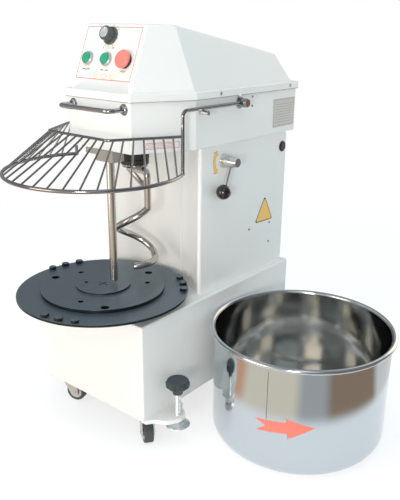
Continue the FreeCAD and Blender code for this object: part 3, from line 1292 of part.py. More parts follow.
def make_foot(row, side):
    """A levelling foot, drawn raised: pad, screw through the ear, star knob on top."""
    x, y = dim("foot_x") * side, dim("foot_y")
    pad_low, pad_r = dim("foot_pad_low"), dim("foot_pad_radius")
    pad_top = pad_low + dim("foot_pad_height")
    screw_r = dim("foot_screw_radius")
    socket, neck_low = screw_r + dim("running_gap"), pad_low + dim("foot_pad_height") / 2
    pad = turned(f"pad_{row}", [
        (0, pad_low), (pad_r, pad_low), (pad_r, pad_low + 2.5), (screw_r + 6, pad_top),
        (socket, pad_top), (socket, neck_low), (0, neck_low),
    ])
    node(pad, f"foot_pad_{row}", x, y)
    top, knob_r = dim("foot_knob_top"), dim("foot_knob_radius")
    head_low, neck = top - dim("foot_knob_thick"), top - dim("foot_knob_height")
    socket_top = top - dim("foot_knob_cap")
    screw = cylinder(f"screw_{row}", screw_r, socket_top - neck_low, (0, 0, neck_low))
    node(screw, f"foot_screw_{row}", x, y)
    knob = turned(f"knob_{row}", [
        (screw_r, neck), (screw_r + 4, neck), (screw_r + 8, head_low - 2), (knob_r - 2, head_low),
        (knob_r, head_low + 3), (knob_r, top - 5), (knob_r - 4, top), (0, top),
        (0, socket_top), (screw_r, socket_top),
    ])
    lobes = []
    spot = num("foot_knob_radius") + num("knob_lobe_out")
    for i in range(7):
        angle = math.radians(360 / 7 * i)
        lobes.append(cylinder(f"lobe_{row}{i}", dim("knob_lobe"), dim("foot_knob_height") + 2, (
            spot * math.cos(angle), spot * math.sin(angle), neck - 1)))
    node(cut(f"knob_{row}_cut", knob, *lobes), f"foot_knob_{row}", x, y)


# ---------------------------------------------------------------- build and write

make_bowl()
make_turntable()
make_table_drive()
make_base()
make_frame()
make_column()
make_gland()
make_pivot()
make_head_housing()
make_cover()
make_panel()
make_head_fittings()
make_spindle()
make_spiral_drive()
make_hook()
make_breaker_bar()
make_guard()
make_lever()
for caster in CASTERS:
    make_caster(*caster)
for foot_row, foot_side in (("right", 1), ("left", -1)):
    make_foot(foot_row, foot_side)

doc.recompute()
failed = [item.Label for item in doc.Objects if {"Invalid", "Error"} & set(item.State)]
if failed:
    raise RuntimeError("failed objects: " + ", ".join(failed))
for item in NODES:
    if item.Shape.isNull() or not item.Shape.isValid() or not item.Shape.Solids:
        raise RuntimeError("bad shape: " + item.Label)

os.makedirs("parts", exist_ok=True)
for item in NODES:
    item.Shape.exportStep(f"parts/{item.Label}.step")
    extent = item.Shape.optimalBoundingBox(False, False)
    print(f"{item.Label:28s} {len(item.Shape.Solids):3d} solids {item.Shape.Volume / 1000:9.1f} cm3"
          f"  x {extent.XMin:7.1f} {extent.XMax:7.1f}  y {extent.YMin:7.1f} {extent.YMax:7.1f}"
          f"  z {extent.ZMin:6.1f} {extent.ZMax:6.1f}")
print(len(NODES), "nodes")
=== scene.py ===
import json
import math

import bpy
from bpy.props import FloatProperty, FloatVectorProperty, IntProperty, PointerProperty
from mathutils import Matrix, Vector


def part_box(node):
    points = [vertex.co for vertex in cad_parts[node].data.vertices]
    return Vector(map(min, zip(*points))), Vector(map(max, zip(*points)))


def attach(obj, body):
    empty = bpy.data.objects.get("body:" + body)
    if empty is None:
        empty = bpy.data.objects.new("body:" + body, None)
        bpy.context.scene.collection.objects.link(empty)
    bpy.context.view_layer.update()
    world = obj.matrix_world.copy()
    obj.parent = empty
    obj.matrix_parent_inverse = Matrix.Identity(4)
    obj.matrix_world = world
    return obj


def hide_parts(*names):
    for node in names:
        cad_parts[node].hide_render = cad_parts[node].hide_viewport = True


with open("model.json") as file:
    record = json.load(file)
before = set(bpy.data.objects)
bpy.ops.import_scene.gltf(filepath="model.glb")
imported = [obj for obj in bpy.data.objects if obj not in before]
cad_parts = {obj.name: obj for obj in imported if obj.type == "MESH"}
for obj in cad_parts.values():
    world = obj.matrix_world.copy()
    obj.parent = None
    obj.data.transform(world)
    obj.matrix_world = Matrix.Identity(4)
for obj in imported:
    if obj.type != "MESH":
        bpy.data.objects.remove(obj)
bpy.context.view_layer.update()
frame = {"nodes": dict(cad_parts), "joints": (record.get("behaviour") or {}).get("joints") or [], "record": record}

bl_info = {
    "name": "Spiral dough mixer",
    "version": (1, 0, 0),
    "blender": (4, 5, 0),
    "location": "View3D > Sidebar > Mixer",
    "description": "Finishes and small parts of a tilting-head spiral mixer and its loose bowl",
    "category": "Object",
}

MM = 0.001
UP = Vector((0, 0, 1))
RIGHT = Vector((1, 0, 0))

BODY_OF = {
    node: body
    for body, nodes in frame["record"]["behaviour"]["bodies"].items()
    for node in nodes
}


def centre(node):
    low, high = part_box(node)
    return (low + high) / 2


def foot_of(node):
    """Where a node's upright middle line meets the floor."""
    middle = centre(node)
    return Vector((middle.x, middle.y, 0))


# The turntable's axis is the machine's own origin; places below are measured from it.
AXIS = foot_of("turntable_step")
BOWL_AXIS = foot_of("bowl")
BOWL_RADIUS = 0.2
HEAD_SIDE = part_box("head_housing")[1].x
COLUMN_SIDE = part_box("column_housing")[1].x

# Places seen from the side, as (y, z) in millimetres.
LEVER_HUB = (249, 616)
GUARD_PIVOT = (288, 745)


def at(x, y, z):
    """A place given in millimetres from the turntable's axis on the floor."""
    return AXIS + Vector((x, y, z)) * MM


def on_side(side, y, z):
    """A place on the upright side at x = side, with y and z in millimetres."""
    return Vector((side, at(0, y, 0).y, z * MM))


# ---------------------------------------------------------------- settings


def colour_setting(name, description, default):
    return FloatVectorProperty(name=name, description=description, subtype="COLOR", size=3,
                               min=0, max=1, default=default)


class MixerColours(bpy.types.PropertyGroup):
    enamel: colour_setting("Enamel", "Paint of housings", (0.86, 0.86, 0.85))
    turntable: colour_setting(
        "Turntable", "Dark coating of the discs", (0.112, 0.152, 0.182))
    start_button: colour_setting(
        "Start buttons", "Plastic of both start buttons", (0.012, 0.34, 0.2))
    stop_button: colour_setting(
        "Stop button", "Plastic of the mushroom button", (0.93, 0.22, 0.18))
    bowl_arrow: colour_setting("Bowl arrow", "Paint of the turning arrow", (0.93, 0.2, 0.15))
    amber: colour_setting(
        "Amber", "Film of the lever's arrow and the triangle", (0.97, 0.6, 0.15))


class MixerSizes(bpy.types.PropertyGroup):
    edge: FloatProperty(
        name="Sheet edge", description="Softening of folded sheet edges", unit="LENGTH",
        min=0, default=0.0007)
    film: FloatProperty(
        name="Film", description="Thickness of films and stickers", unit="LENGTH",
        min=0, default=0.0003)
    thread_pitch: FloatProperty(
        name="Thread pitch", description="Pitch of the levelling screws", unit="LENGTH",
        min=0.001, default=0.004)
    dial_marks: IntProperty(
        name="Dial marks", description="Marks round the timer", min=2, default=7)


class MixerStudio(bpy.types.PropertyGroup):
    lens: FloatProperty(
        name="Lens", description="Camera lens", unit="CAMERA", min=10, default=47.1)
    key_power: FloatProperty(
        name="Key light", description="Strength that all four lamps share",
        unit="POWER", min=0, default=32)
    sky: FloatProperty(
        name="Sky", description="Strength of the even light all round", min=0, default=0.6)


def colours():
    return bpy.context.scene.mixer_colours


def sizes():
    return bpy.context.scene.mixer_sizes


def studio():
    return bpy.context.scene.mixer_studio


# ---------------------------------------------------------------- shader groups


def new_group(name, inputs, outputs):
    """An empty shader group with its sockets, and its input and output nodes."""
    group = bpy.data.node_groups.new(name, "ShaderNodeTree")
    for label, value in inputs.items():
        kind = "NodeSocketVector" if isinstance(value, tuple) else "NodeSocketFloat"
        socket = group.interface.new_socket(label, in_out="INPUT", socket_type=kind)
        socket.default_value = value
    for label in outputs:
        group.interface.new_socket(label, in_out="OUTPUT", socket_type="NodeSocketFloat")
    return group, group.nodes.new("NodeGroupInput"), group.nodes.new("NodeGroupOutput")


def shader_node(tree, kind, inputs=(), **settings):
    """A new node with its settings made and its inputs fed by sockets or plain values."""
    node = tree.nodes.new("ShaderNode" + kind)
    for label, value in settings.items():
        setattr(node, label, value)
    for label, value in dict(inputs).items():
        if isinstance(value, bpy.types.NodeSocket):
            tree.links.new(value, node.inputs[label])
        else:
            node.inputs[label].default_value = value
    return node


def math_node(tree, operation, *terms, clamp=False):
    node = shader_node(tree, "Math", enumerate(terms), operation=operation, use_clamp=clamp)
    return node.outputs["Value"]


def vector_node(tree, operation, *terms):
    node = shader_node(tree, "VectorMath", enumerate(terms), operation=operation)
    return node.outputs["Value" if operation == "LENGTH" else "Vector"]


def object_place(tree):
    return tree.nodes.new("ShaderNodeTexCoord").outputs["Object"]


def facing_up(tree):
    """How far the surface faces up, from -1 to 1."""
    normal = tree.nodes.new("ShaderNodeTexCoord").outputs["Normal"]
    return shader_node(tree, "SeparateXYZ", {"Vector": normal}).outputs["Z"]


def noise(tree, vector, scale, detail=3, roughness=0.55):
    return shader_node(tree, "TexNoise", {
        "Vector": vector, "Scale": scale, "Detail": detail, "Roughness": roughness,
    }).outputs["Fac"]


def past(tree, near, far):
    """0 nearer to the object's middle than one distance and 1 farther than the other."""
    reach = vector_node(tree, "LENGTH", object_place(tree))
    return shader_node(tree, "MapRange", {"Value": reach, "From Min": near, "From Max": far},
                       interpolation_type="SMOOTHSTEP").outputs["Result"]


def mixed(tree, share, first, second):
    """The first shader where the share is 0 and the second where it is 1."""
    mix = shader_node(tree, "MixShader", enumerate((share, first, second)))
    return mix.outputs["Shader"]


def side_by_side(tree, turn, strips, soft=10):
    """Strips of colour round a full turn, each up to its angle, blended over soft degrees."""
    stops = []
    start = -180
    for end, colour in strips:
        stops += [(start + soft / 2, colour), (end - soft / 2, colour)]
        start = end
    ramp = tree.nodes.new("ShaderNodeValToRGB")
    elements = ramp.color_ramp.elements
    while len(elements) < len(stops):
        elements.new(1.0)
    for element, (degrees, colour) in zip(elements, stops):
        element.position = (degrees + 180) / 360
        element.color = (*colour, 1)
    tree.links.new(turn, ramp.inputs["Fac"])
    return ramp.outputs["Color"]


def wear_group():
    """Faint cloudy handling marks: a roughness and a slightly darker or lighter tint."""
    group, start, end = new_group(
        "Handling Marks", {"Roughness": 0.3, "Amount": 0.1, "Scale": 6.0},
        ("Roughness", "Tint"))
    cloud = noise(group, object_place(group), start.outputs["Scale"], 4, 0.5)
    change = math_node(group, "MULTIPLY", math_node(group, "SUBTRACT", cloud, 0.5),
                       start.outputs["Amount"])
    rough = math_node(group, "ADD", start.outputs["Roughness"], change, clamp=True)
    group.links.new(rough, end.inputs["Roughness"])
    tint = math_node(group, "MULTIPLY_ADD", change, 0.35, 1.0)
    group.links.new(tint, end.inputs["Tint"])
    return group


def grain_group():
    """Fine brushed lines, stretched along the direction with the smallest scale."""
    group, start, end = new_group(
        "Brushed Lines", {"Stretch": (1.0, 1.0, 40.0), "Scale": 30.0}, ("Height",))
    stretched = vector_node(group, "MULTIPLY", object_place(group), start.outputs["Stretch"])
    lines = noise(group, stretched, start.outputs["Scale"], 5, 0.5)
    group.links.new(lines, end.inputs["Height"])
    return group


def turned_group():
    """Rings round an upright axis, as a lathe tool leaves them, and the distance from it."""
    group, start, end = new_group(
        "Turned Rings", {"Centre": (0.0, 0.0, 0.0), "Rings": 300.0}, ("Height", "Distance"))
    away = vector_node(group, "SUBTRACT", object_place(group), start.outputs["Centre"])
    distance = vector_node(group, "LENGTH", vector_node(group, "MULTIPLY", away, (1, 1, 0)))
    rings = shader_node(group, "TexNoise", {"Detail": 3, "W": distance,
                                            "Scale": start.outputs["Rings"]},
                        noise_dimensions="1D")
    group.links.new(rings.outputs["Fac"], end.inputs["Height"])
    group.links.new(distance, end.inputs["Distance"])
    return group


# ---------------------------------------------------------------- materials

FINISHES = {}


def plain(name, colour, roughness, metallic=0.0, **sockets):
    """A new material and its shader, with constants set on the shader itself."""
    material = bpy.data.materials.new(name)
    material.use_nodes = True
    shader = material.node_tree.nodes["Principled BSDF"]
    shader.inputs["Base Color"].default_value = (*colour, 1)
    shader.inputs["Roughness"].default_value = roughness
    shader.inputs["Metallic"].default_value = metallic
    for label, value in sockets.items():
        shader.inputs[label.replace("_", " ")].default_value = value
    FINISHES[name] = material
    return material, material.node_tree, shader


def add_group(tree, group, **values):
    return shader_node(tree, "Group", values, node_tree=group)


def tinted(tree, shader, colour, tint):
    """Multiplies the base colour by a mask that changes over the surface."""
    mix = shader_node(tree, "VectorMath", {0: colour, "Scale": tint}, operation="SCALE")
    tree.links.new(mix.outputs["Vector"], shader.inputs["Base Color"])


def toned(tree, shader, mask, colour):
    """Another base colour where the mask is 1."""
    base = shader.inputs["Base Color"]
    mix = shader_node(tree, "MixRGB", {"Fac": mask, "Color1": base.links[0].from_socket,
                                       "Color2": (*colour, 1)})
    tree.links.new(mix.outputs["Color"], base)


def bumped(tree, shader, height, strength, distance):
    bump = shader_node(tree, "Bump", {"Height": height, "Strength": strength,
                                      "Distance": distance})
    tree.links.new(bump.outputs["Normal"], shader.inputs["Normal"])


def pebbled(tree, shader, scale, detail, strength, distance):
    """Fine uneven relief all over."""
    bumped(tree, shader, noise(tree, object_place(tree), scale, detail), strength, distance)


def make_finishes():
    marks, grain, turned = wear_group(), grain_group(), turned_group()
    tint = colours()

    def marked(name, colour, roughness, amount, scale=6.0, metallic=0.0, **sockets):
        """A finish with faint handling marks."""
        _, tree, shader = plain(name, colour, roughness, metallic, **sockets)
        wear = add_group(tree, marks, Roughness=roughness, Amount=amount, Scale=scale)
        tree.links.new(wear.outputs["Roughness"], shader.inputs["Roughness"])
        tinted(tree, shader, colour, wear.outputs["Tint"])
        return tree, shader

    def brushed(tree, shader, stretch, scale, strength, distance):
        lines = add_group(tree, grain, Stretch=(1.0, 1.0, stretch), Scale=scale)
        bumped(tree, shader, lines.outputs["Height"], strength, distance)

    pebbled(*marked("cream enamel", tuple(tint.enamel), 0.34, 0.12, 5.0, Coat_Weight=0.25,
                    Coat_Roughness=0.12), 420, 2, 0.12, 0.0002)

    tree, shader = marked("dark turntable", tuple(tint.turntable), 0.36, 0.22, 9.0,
                          metallic=0.55)
    lathe = add_group(tree, turned, Centre=tuple(AXIS), Rings=900.0)
    bumped(tree, shader, lathe.outputs["Height"], 0.22, 0.0003)
    # The steep side walls of the discs get a near-black tone: painted shade.
    painted_shade_on_steep_sides = math_node(tree, "LESS_THAN", math_node(tree, "ABSOLUTE", facing_up(tree)), 0.3)
    toned(tree, shader, painted_shade_on_steep_sides, (0.012, 0.019, 0.024))

    tree, shader = marked("bowl steel", (0.66, 0.675, 0.67), 0.1, 0.06, 3.0, metallic=1.0)
    away = add_group(tree, turned, Centre=tuple(BOWL_AXIS)).outputs["Distance"]
    # The outside wall and the underside get a bluer, darker steel tone: a painted reflection tint.
    under = math_node(tree, "LESS_THAN", facing_up(tree), -0.02)
    past_wall = math_node(tree, "GREATER_THAN", away, BOWL_RADIUS - 0.0008)
    painted_reflection_tint_area = math_node(tree, "MAXIMUM", past_wall, under)
    toned(tree, shader, painted_reflection_tint_area, (0.56, 0.61, 0.645))

    pebbled(*marked("hook steel", (0.54, 0.52, 0.495), 0.2, 0.16, 14.0, metallic=1.0),
            90, 2, 0.06, 0.0008)
    marked("chrome", (0.7, 0.71, 0.72), 0.1, 0.06, 20.0, metallic=1.0)
    # Darker copies of chrome for the handle and the guard wires: painted shade in their reflections.
    marked("handle chrome with painted shade", (0.42, 0.43, 0.44), 0.1, 0.06, 20.0, metallic=1.0)
    marked("wire chrome with painted shade", (0.29, 0.295, 0.305), 0.12, 0.1, 20.0, metallic=1.0)
    marked("bright zinc", (0.82, 0.88, 0.89), 0.24, 0.1, 30.0, metallic=0.9)
    marked("satin bezel", (0.5, 0.53, 0.53), 0.3, 0.05, 20.0, metallic=0.7)
    # A lighter, bluish copy of black plastic for the timer knob: painted sheen.
    marked("timer plastic with painted sheen", (0.075, 0.09, 0.095), 0.28, 0.1, 30.0)
    marked("zinc", (0.62, 0.63, 0.61), 0.36, 0.25, 30.0, metallic=1.0)
    brushed(*marked("machined aluminium", (0.68, 0.69, 0.71), 0.3, 0.15, metallic=1.0),
            60.0, 40.0, 0.15, 0.0004)
    marked("motor grey", (0.1, 0.115, 0.13), 0.5, 0.2)
    marked("black casting", (0.016, 0.017, 0.019), 0.48, 0.2, 40.0)
    marked("bracket paint", (0.36, 0.34, 0.3), 0.42, 0.2, 30.0, metallic=0.35)
    brushed(*marked("rating aluminium", (0.6, 0.59, 0.58), 0.42, 0.15, metallic=0.25),
            40.0, 60.0, 0.2, 0.0002)
    marked("black gloss", (0.008, 0.008, 0.009), 0.14, 0.05, Coat_Weight=0.6)
    marked("knob plastic", (0.03, 0.045, 0.055), 0.36, 0.15, 25.0)
    pebbled(*marked("black plastic", (0.014, 0.015, 0.017), 0.42, 0.15, 25.0),
            900, 2, 0.25, 0.0002)
    pebbled(*marked("rubber", (0.02, 0.02, 0.021), 0.72, 0.15, 30.0), 600, 3, 0.3, 0.0003)
    pebbled(*marked("castor tread", (0.055, 0.062, 0.066), 0.6, 0.2, 40.0),
            500, 3, 0.3, 0.0003)

    plain("panel film", (0.87, 0.845, 0.8), 0.4)
    plain("white film", (0.88, 0.87, 0.86), 0.35)
    plain("start green", tuple(tint.start_button), 0.25, Coat_Weight=0.4)
    plain("stop red", tuple(tint.stop_button), 0.28, Coat_Weight=0.35)
    plain("arrow red", tuple(tint.bowl_arrow), 0.3, Coat_Weight=0.2)
    plain("amber film", tuple(tint.amber), 0.35)
    plain("red ink", (0.62, 0.09, 0.11), 0.5)
    plain("gold ink", (0.6, 0.36, 0.1), 0.4)
    # Dark print, and the painted shade of the screw slots.
    plain("dark ink and painted shade", (0.03, 0.03, 0.035), 0.5)
    plain("dark screw", (0.09, 0.09, 0.1), 0.4, 0.6)
    plain("amber edge", (0.72, 0.3, 0.05), 0.4)
    # Dark printed rows, the bowl's weld line, and the painted shadow strip under the lip.
    plain("dark lines and painted shadow", (0.12, 0.13, 0.13), 0.7)
    plain("hub brown", (0.12, 0.065, 0.045), 0.45)
    plain("hub steel", (0.16, 0.155, 0.15), 0.4, 0.5)
    plain("white nylon", (0.82, 0.82, 0.8), 0.4)


# ---------------------------------------------------------------- modelling helpers


def deselect():
    for thing in list(bpy.context.selected_objects):
        thing.select_set(False)


def pick(thing):
    deselect()
    thing.select_set(True)
    bpy.context.view_layer.objects.active = thing
    return thing


def linked(name, data):
    """A new object in the scene."""
    thing = bpy.data.objects.new(name, data)
    bpy.context.scene.collection.objects.link(thing)
    return thing


def apply_place(thing):
    pick(thing)
    bpy.ops.object.transform_apply(location=True, rotation=True, scale=True)


def placed(thing, name, finish, body):
    """Applies the object's place to its mesh, names it, paints it and rides it on a body."""
    apply_place(thing)
    thing.name = name
    thing.data.name = name
    thing.data.materials.clear()
    thing.data.materials.append(FINISHES[finish])
    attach(thing, body)
    deselect()
    return thing


def modified(thing, kind, **settings):
    """Adds a modifier and applies it."""
    pick(thing)
    modifier = thing.modifiers.new(kind.lower(), kind)
    for label, value in settings.items():
        setattr(modifier, label, value)
    bpy.ops.object.modifier_apply(modifier=modifier.name)


def edit_mesh(thing, *steps):
    """Runs edit mode steps, each a name and its settings, on the whole mesh."""
    pick(thing)
    bpy.ops.object.mode_set(mode="EDIT")
    for step, settings in steps:
        bpy.ops.mesh.select_all(action="SELECT")
        getattr(bpy.ops.mesh, step)(**settings)
    bpy.ops.object.mode_set(mode="OBJECT")


def soften(thing, width, segments=2):
    """Rounds the sharp edges by a width."""
    modified(thing, "BEVEL", width=width, segments=segments, limit_method="ANGLE",
             angle_limit=math.radians(35))


def smoothed(thing, angle):
    """Smooth shading up to an angle, with normals that keep the large faces flat."""
    pick(thing)
    bpy.ops.object.shade_smooth_by_angle(angle=math.radians(angle))
    modified(thing, "WEIGHTED_NORMAL", keep_sharp=True)


def finished(node, finish, edge=0.0, smooth=32, simplify=True):
    """A merged copy of a CAD node, softly edged and painted, shown in its place."""
    source = frame["nodes"][node]
    piece = source.copy()
    piece.data = source.data.copy()
    for key in list(piece.keys()):
        del piece[key]
    piece.parent = None
    piece.matrix_world = Matrix.Identity(4)
    bpy.context.scene.collection.objects.link(piece)
    steps = [("remove_doubles", {"threshold": 1e-6})]
    if simplify:
        steps.append(("dissolve_limited", {"angle_limit": math.radians(0.2)}))
    edit_mesh(piece, *steps)
    if edge:
        soften(piece, edge)
    smoothed(piece, smooth)
    placed(piece, node + "_finished", finish, BODY_OF[node])
    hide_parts(node)


def lay(thing, place, normal, lift, up=UP):
    """Turns a thing's z along the normal and lifts its middle off a surface."""
    z = normal.normalized()
    x = up.cross(z).normalized()
    turn = Matrix((x, z.cross(x), z)).transposed().to_4x4()
    thing.matrix_world = Matrix.Translation(place + z * lift) @ turn


def disc(name, radius, thick, place, normal, finish, body, sides=48, edge=0.0):
    """A short round bar standing on a surface, its near end at the place."""
    deselect()
    bpy.ops.mesh.primitive_cylinder_add(vertices=sides, radius=radius, depth=thick)
    thing = bpy.context.object
    lay(thing, place, normal, thick / 2, Vector((0.01, 0.02, 1)))
    bpy.context.view_layer.update()
    apply_place(thing)
    if edge:
        soften(thing, edge, 3)
    smoothed(thing, 35)
    return placed(thing, name, finish, body)


def sheet(name, outlines, thick):
    """A flat sheet cut to closed outlines; holes lie inside."""
    curve = bpy.data.curves.new(name, "CURVE")
    curve.dimensions = "2D"
    curve.fill_mode = "BOTH"
    curve.extrude = thick / 2
    for outline in outlines:
        line = curve.splines.new("POLY")
        line.points.add(len(outline) - 1)
        for point, (x, y) in zip(line.points, outline):
            point.co = (x, y, 0, 1)
        line.use_cyclic_u = True
    pick(linked(name, curve))
    bpy.ops.object.convert(target="MESH")
    return bpy.context.object


def flat_shape(name, outlines, thick, place, normal, finish, body, up=UP):
    """A cut sheet laid on a surface."""
    thing = sheet(name, outlines, thick)
    lay(thing, place, normal, thick / 2, up)
    return placed(thing, name, finish, body)


def words(name, text, height, place, normal, finish, body, up=UP):
    """Printed signs, centred on a place."""
    deselect()
    bpy.ops.object.text_add()
    letters = bpy.context.object.data
    letters.body = text
    letters.size = height
    letters.align_x = "CENTER"
    letters.align_y = "CENTER"
    letters.extrude = sizes().film / 4
    bpy.ops.object.convert(target="MESH")
    thing = bpy.context.object
    lay(thing, place, normal, sizes().film / 2, up)
    placed(thing, name, finish, body)


def rectangle(width, height, x=0.0, y=0.0):
    return [(x - width / 2, y - height / 2), (x + width / 2, y - height / 2),
            (x + width / 2, y + height / 2), (x - width / 2, y + height / 2)]


def frame_line(width, height, line):
    """A thin border as an outline with its hole."""
    return [rectangle(width, height), rectangle(width - 2 * line, height - 2 * line)]


def round_line(x, y, outer, inner, steps=32):
    """A round line as an outline with its hole."""
    return [[(x + radius * math.cos(turn), y + radius * math.sin(turn))
             for turn in (math.tau * i / steps for i in range(steps))]
            for radius in (outer, inner)]


def rounded_outline(corners, radius, steps=5):
    """Rounds the corners of a closed outline with short arcs."""
    points = []
    count = len(corners)
    for i in range(count):
        before, corner, after = (Vector(corners[(i + k) % count]) for k in (-1, 0, 1))
        to_before, to_after = (before - corner).normalized(), (after - corner).normalized()
        half = to_before.angle(to_after) / 2
        middle = corner + (to_before + to_after).normalized() * radius / math.sin(half)
        start = (corner + to_before * radius / math.tan(half)) - middle
        end = (corner + to_after * radius / math.tan(half)) - middle
        for step in range(steps + 1):
            share = step / steps
            spoke = (start * (1 - share) + end * share).normalized() * radius
            points.append(tuple(middle + spoke))
    return points


def joined(things, name):
    """Joins pieces that belong to one body into one."""
    deselect()
    for thing in things:
        thing.select_set(True)
    bpy.context.view_layer.objects.active = things[0]
    bpy.ops.object.join()
    things[0].name = name
    deselect()
    return things[0]


# ---------------------------------------------------------------- pieces


class MIXER_OT_base(bpy.types.Operator):
    """Base housing, its frame and the cable gland"""

    bl_idname = "mixer.base"
    bl_label = "Base"

    def execute(self, context):
        finished("base_housing", "cream enamel")
        finished("base_frame", "cream enamel", sizes().edge)
        finished("power_gland", "black plastic", 0.0005)
        return {"FINISHED"}


class MIXER_OT_column(bpy.types.Operator):
    """Column, its front panel, rear cover, pivot plugs, screws and films"""

    bl_idname = "mixer.column"
    bl_label = "Column"

    def execute(self, context):
        finished("column_housing", "cream enamel")
        finished("column_rear_cover", "cream enamel", sizes().edge)
        finished("head_rest_pads", "rubber", 0.001)
        finished("pivot_axle", "zinc")
        finished("pivot_plugs", "black plastic", 0.0004)
        self.front_panel()
        self.side_screws()
        self.triangle()
        self.turn_arrow()
        return {"FINISHED"}

    def front_panel(self):
        """A thin curved sheet screwed over the middle of the hollowed front."""
        radius, half, low, high = 0.217, 0.054, 0.315, 0.644
        deselect()
        bpy.ops.mesh.primitive_grid_add(x_subdivisions=24, y_subdivisions=2, size=1)
        panel = bpy.context.object
        arc = math.asin(half / radius)
        for vertex in panel.data.vertices:
            angle = vertex.co.x * 2 * arc
            height = low + (vertex.co.y + 0.5) * (high - low)
            vertex.co = AXIS + Vector((math.sin(angle) * radius, math.cos(angle) * radius,
                                       height))
        modified(panel, "SOLIDIFY", thickness=0.0015, offset=1)
        edit_mesh(panel, ("normals_make_consistent", {"inside": False}))
        soften(panel, 0.0005)
        smoothed(panel, 35)
        placed(panel, "column_front_panel", "cream enamel", "machine")

    def side_screws(self):
        joined([disc("screw", 0.0026, 0.0012, on_side(COLUMN_SIDE, y, z), RIGHT, "dark screw",
                     "machine", 24, 0.0004)
                for y, z in ((359, 424), (450, 423), (449, 371))], "column_side_screws")

    def film_on_edge(self, y, z, edge, film):
        """A film over a slightly larger one, each a name, an outline and a finish."""
        place = on_side(COLUMN_SIDE, y, z)
        for (name, outline, finish), thick in ((edge, 1), (film, 1.6)):
            flat_shape(name, [outline], sizes().film * thick, place, RIGHT, finish, "machine")

    def triangle(self):
        """A bare warning triangle with a dark border."""
        corners = [(425, 498), (384, 434), (463, 430.5)]
        middle_y, middle_z = (sum(numbers) / 3 for numbers in zip(*corners))

        def outline(scale):
            points = [((y - middle_y) * MM * scale, (z - middle_z) * MM * scale)
                      for y, z in corners]
            return rounded_outline(points, 0.004 * scale)

        self.film_on_edge(middle_y, middle_z, ("triangle_edge", outline(1.0), "dark ink and painted shade"),
                          ("triangle_film", outline(0.9), "amber film"))

    def turn_arrow(self):
        """A curved double arrow beside the lock lever, with a darker outline."""
        radius, steps = 36, 12
        head = math.radians(15)

        def point(angle, reach):
            return (reach * math.cos(angle) * MM, reach * math.sin(angle) * MM)

        def arrow(low, high, half):
            barb = 2.1 * half
            turns = [low + head + (high - low - 2 * head) * i / steps
                     for i in range(steps + 1)]
            outline = [point(turn, radius + half) for turn in turns]
            outline += [point(high - head, radius + barb), point(high, radius),
                        point(high - head, radius - barb)]
            outline += [point(turn, radius - half) for turn in reversed(turns)]
            return outline + [point(low + head, radius - barb), point(low, radius),
                              point(low + head, radius + barb)]

        low, high = math.radians(135), math.radians(228)
        self.film_on_edge(
            *LEVER_HUB, ("lever_arrow_edge", arrow(low, high, 4.4), "amber edge"),
            ("lever_arrow", arrow(low + 0.05, high - 0.05, 3.2), "amber film"))


class MIXER_OT_turntable(bpy.types.Operator):
    """The two discs, their bolts and the shaft below"""

    bl_idname = "mixer.turntable"
    bl_label = "Turntable"

    def execute(self, context):
        finished("turntable_disc", "dark turntable", 0.0006)
        finished("turntable_step", "dark turntable", 0.0008)
        finished("turntable_bolts", "dark turntable", 0.0006)
        finished("turntable_shaft", "zinc")
        finished("turntable_pulley", "machined aluminium", 0.0005)
        return {"FINISHED"}


class MIXER_OT_drives(bpy.types.Operator):
    """Motors, pulleys, belts, bearings and the castings that hold them"""

    bl_idname = "mixer.drives"
    bl_label = "Drives"

    def execute(self, context):
        for node, finish, edge in (
            ("turntable_motor", "motor grey", 0.0015),
            ("turntable_drive_pulley", "machined aluminium", 0.0005),
            ("turntable_belt", "rubber", 0.0008),
            ("turntable_bearing_housing", "black casting", 0.001),
            ("turntable_bearings", "zinc", 0.0005),
            ("spindle_housing", "black casting", 0.001),
            ("spindle_bearings", "zinc", 0.0005),
            ("spiral_motor", "motor grey", 0.0015),
            ("spiral_pulley", "machined aluminium", 0.0005),
            ("spiral_drive_pulley", "machined aluminium", 0.0005),
            ("spiral_belt", "rubber", 0.0008),
            ("head_hinge_arms", "zinc", 0.0008),
        ):
            finished(node, finish, edge)
        return {"FINISHED"}


